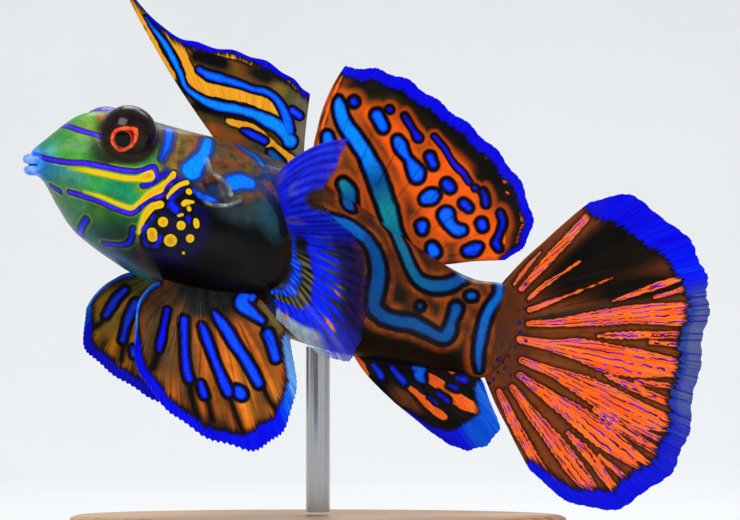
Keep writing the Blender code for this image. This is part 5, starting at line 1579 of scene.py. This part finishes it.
def eyeball(name, side, finish):
    centre, sight = eye_centre(side), eye_sight()
    body_side = sideways(EYE_X)
    if side < 0:
        sight = sight - 2 * (sight @ body_side) * body_side
    right = unit(np.cross(sight, [0.0, 0.0, 1.0])) * (1 if side > 0 else -1)
    up = unit(np.array([0.0, 0.0, 1.0]) - sight * sight[2])
    spokes = 180
    polar = np.concatenate([np.linspace(0.0, 0.75, 90), np.linspace(0.75, np.pi, 61)[1:]])
    turn = np.linspace(0, 2 * np.pi, spokes, endpoint=False)
    p, t = np.meshgrid(polar, turn, indexing="ij")
    arc = p * EYE_RADIUS
    corner = np.interp(np.degrees((t + np.pi) % (2 * np.pi) - np.pi), *np.array(IRIS_CORNERS).T)
    iris = arc / corner
    radius = EYE_RADIUS + 0.05 * np.exp(-(arc / 1.5) ** 4)  # the clear dome before the iris
    way = (sight * np.cos(p)[..., None] + (-right * np.cos(t)[..., None] + up * np.sin(t)[..., None])
           * np.sin(p)[..., None])
    points = centre + way * radius[..., None]
    faces = tube_faces(len(polar), spokes)
    line = np.full(arc.size, FAR_AWAY)
    if side < 0:
        tree = BVHTree.FromPolygons(points.reshape(-1, 3).tolist(), faces)
        line = distance_to(points.reshape(-1, 3), strokes_on(tree, FAR_EYE_LINE))[0]
    piece = make_piece(name, points.reshape(-1, 3), faces,
                       {"iris": iris.ravel(), "arc": arc.ravel(), "line": line,
                        "skin": smooth_step(*((6.4, 7.4) if side > 0 else (3.4, 4.4)), arc).ravel()})
    give_uv(piece, (0.5 + p * np.cos(t) / 6.4).ravel(), (0.5 + p * np.sin(t) / 6.4).ravel())
    piece.data.materials.append(finish)
    return piece


eye_material, wire, eye_in = new_material("eye_gloss", roughness=0.2, Specular_IOR_Level=0.1,
                                          Coat_Roughness=0.05, Coat_IOR=1.4)
arc = wire.number("arc")
iris = wire.sway(wire.noise(0.5, 2.0), 0.12, wire.number("iris"))
ball = wire.mix(wire.step(wire.noise(1.4, 3.0), 0.35, 0.65), paint(14, 7, 7), paint(34, 24, 16))
# Painted sheen: the dark ball turns a purplish grey towards its rim, away from the iris
ball = wire.mix(wire.step(arc, 3.0, 5.4), ball, paint(62, 50, 62))
ball = wire.mix(wire.number("skin"), ball, paint(60, 84, 52))
wire.feed(eye_in["Coat Weight"], wire.step(wire.number("skin"), 0.0, 0.5, 0.18, 0.04))
orange = wire.mix(wire.step(wire.noise(0.35, 3.0), 0.35, 0.7), paint(236, 52, 22), paint(255, 116, 60))
colour = wire.mix(wire.step(iris, 1.22, 1.02), ball, paint(60, 8, 6))
colour = wire.mix(wire.step(iris, 1.02, 0.93), colour, orange)
colour = wire.mix(wire.step(iris, 0.76, 0.70), colour, paint(120, 16, 8))
colour = wire.mix(wire.step(arc, 0.93, 0.89), colour, paint(200, 60, 20))
colour = wire.mix(wire.step(arc, 0.86, 0.82), colour, paint(24, 20, 4))
colour = wire.mix(wire.step(arc, PUPIL_RADIUS - 0.02, PUPIL_RADIUS - 0.07), colour, paint(2, 1, 1))
colour = wire.mix(wire.step(wire.number("line"), 0.05, -0.05), colour, paint(92, 50, 250))
wire.feed(eye_in["Base Color"], colour)
for eye_name, side in (("eye_left", 1), ("eye_right", -1)):
    globe = eyeball(eye_name + "_globe", side, eye_material)
    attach(globe, "root")
    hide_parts(eye_name)
    print(globe.name, "looks along", [round(float(c), 2) for c in eye_sight()])

# %% [markdown]
# ## The stand
# A turned wooden base and a polished steel rod carry the fish. Their solids are already the right shape, so they
# stay and only get better materials.

# %% Stand materials
wood, wire, wood_in = new_material("pale_beech", roughness=0.5, Coat_Weight=0.15, Coat_Roughness=0.3)
where = wire.add("ShaderNodeMapping", {"Vector": wire.spot(), "Scale": (0.12, 1.0, 1.0)})
grain = wire.noise(2.2, 5.0, where=where, roughness=0.6)
rings = wire.add("ShaderNodeTexWave", {"Vector": where, "Scale": 130.0, "Distortion": 5.0, "Detail": 2.0,
                                       "Detail Scale": 1.5}, "Fac", bands_direction="Y")
pores = wire.noise(0.35, 2.0, where=where)
colour = wire.mix(rings, paint(196, 152, 104), paint(168, 120, 76))
colour = wire.mix(wire.step(grain, 0.4, 0.65, 0.0, 0.6), colour, paint(214, 176, 130))
colour = wire.mix(wire.step(pores, 0.62, 0.72, 0.0, 0.55), colour, paint(110, 72, 42))
wire.feed(wood_in["Base Color"], colour)
wire.feed(wood_in["Roughness"], wire.step(grain, 0.2, 0.8, 0.42, 0.6))
wire.feed(wood_in["Normal"], wire.bump(pores, 0.25, 0.08))

steel, wire, steel_in = new_material("brushed_steel", Metallic=1.0)
where = wire.add("ShaderNodeMapping", {"Vector": wire.spot(), "Scale": (1.0, 1.0, 0.02)})
lines = wire.noise(0.25, 3.0, where=where)
wire.feed(steel_in["Base Color"], wire.mix(lines, paint(190, 192, 195), paint(202, 204, 206)))
wire.feed(steel_in["Roughness"], wire.step(lines, 0.2, 0.8, 0.24, 0.32))
wire.feed(steel_in["Normal"], wire.bump(lines, 0.12, 0.03))
for node_name, finish in (("stand_base", wood), ("stand_rod", steel)):
    for slot in bpy.data.objects[node_name].material_slots:
        slot.material = finish
print("stand finished")

# %% [markdown]
# ## Studio
# A pale sweep of paper runs from the floor up behind the fish, and only its front can be seen. One large soft
# light stands to the upper left, as in an aquarium lit from above, a second fills the shadow side, and a third
# from behind lights the fins' edges.

# %% Floor, lights and world
# In metres: where the paper starts, where it begins to bend, its bend's radius, its upright part and half width
PAPER_FRONT, PAPER_BEND, PAPER_RADIUS, PAPER_HEIGHT, PAPER_HALF = -0.9, 0.35, 0.25, 0.9, 1.5
steps = np.linspace(0, 1, 15)
turn = steps * np.pi / 2
sweep_y = np.concatenate([PAPER_FRONT + (PAPER_BEND - PAPER_FRONT) * steps,
                          PAPER_BEND + PAPER_RADIUS * np.sin(turn[1:]), np.full(11, PAPER_BEND + PAPER_RADIUS)])
sweep_z = np.concatenate([0 * steps, PAPER_RADIUS - PAPER_RADIUS * np.cos(turn[1:]),
                          PAPER_RADIUS + PAPER_HEIGHT * np.linspace(0, 1, 12)[1:]])
floor_points = np.array([(x, y, z) for y, z in zip(sweep_y, sweep_z) for x in (-PAPER_HALF, PAPER_HALF)]) / MM
paper = make_piece("studio_floor", floor_points, net_faces(len(sweep_y), 2).tolist(), {})
paper_material, wire, paper_in = new_material("pale_paper", roughness=0.9)
wire.feed(paper_in["Base Color"], wire.mix(wire.noise(40.0, 3.0), paint(226, 228, 230), paint(234, 236, 237)))
surface = next(node for node in wire.tree.nodes if node.type == "OUTPUT_MATERIAL").inputs["Surface"]
wire.feed(surface, wire.add("ShaderNodeMixShader", {
    0: wire.add("ShaderNodeNewGeometry", {}, "Backfacing"), 1: surface.links[0].from_socket,
    2: wire.add("ShaderNodeBsdfTransparent", {})}))
if paper.data.polygons[0].normal.z < 0:
    paper.data.flip_normals()
paper.data.materials.append(paper_material)


def soft_light(name, spot, target, power, size, colour, mirrored_in_eyes=True):
    lamp = bpy.data.lights.new(name, "AREA")
    lamp.shape, lamp.size, lamp.size_y = "RECTANGLE", size[0], size[1]
    lamp.energy, lamp.color = power, colour
    stood = show(name, lamp)
    stood.location = spot
    stood.visible_glossy = mirrored_in_eyes
    stood.rotation_euler = (Vector(target) - Vector(spot)).to_track_quat("-Z", "Y").to_euler()


FISH = (0.005, 0.0, 0.034)
soft_light("key", (-0.22, -0.34, 0.56), FISH, 2.9, (0.34, 0.26), (1.0, 0.985, 0.96))
soft_light("fill", (0.42, -0.46, 0.16), FISH, 1.0, (0.40, 0.36), (0.95, 0.97, 1.0), mirrored_in_eyes=False)
soft_light("rim", (0.10, 0.34, 0.42), FISH, 1.2, (0.40, 0.20), (1.0, 1.0, 1.0))
world = bpy.data.worlds.new("studio")
world.use_nodes = True
world.node_tree.nodes["Background"].inputs["Color"].default_value = (0.86, 0.88, 0.90, 1.0)
world.node_tree.nodes["Background"].inputs["Strength"].default_value = 0.45
bpy.context.scene.world = world
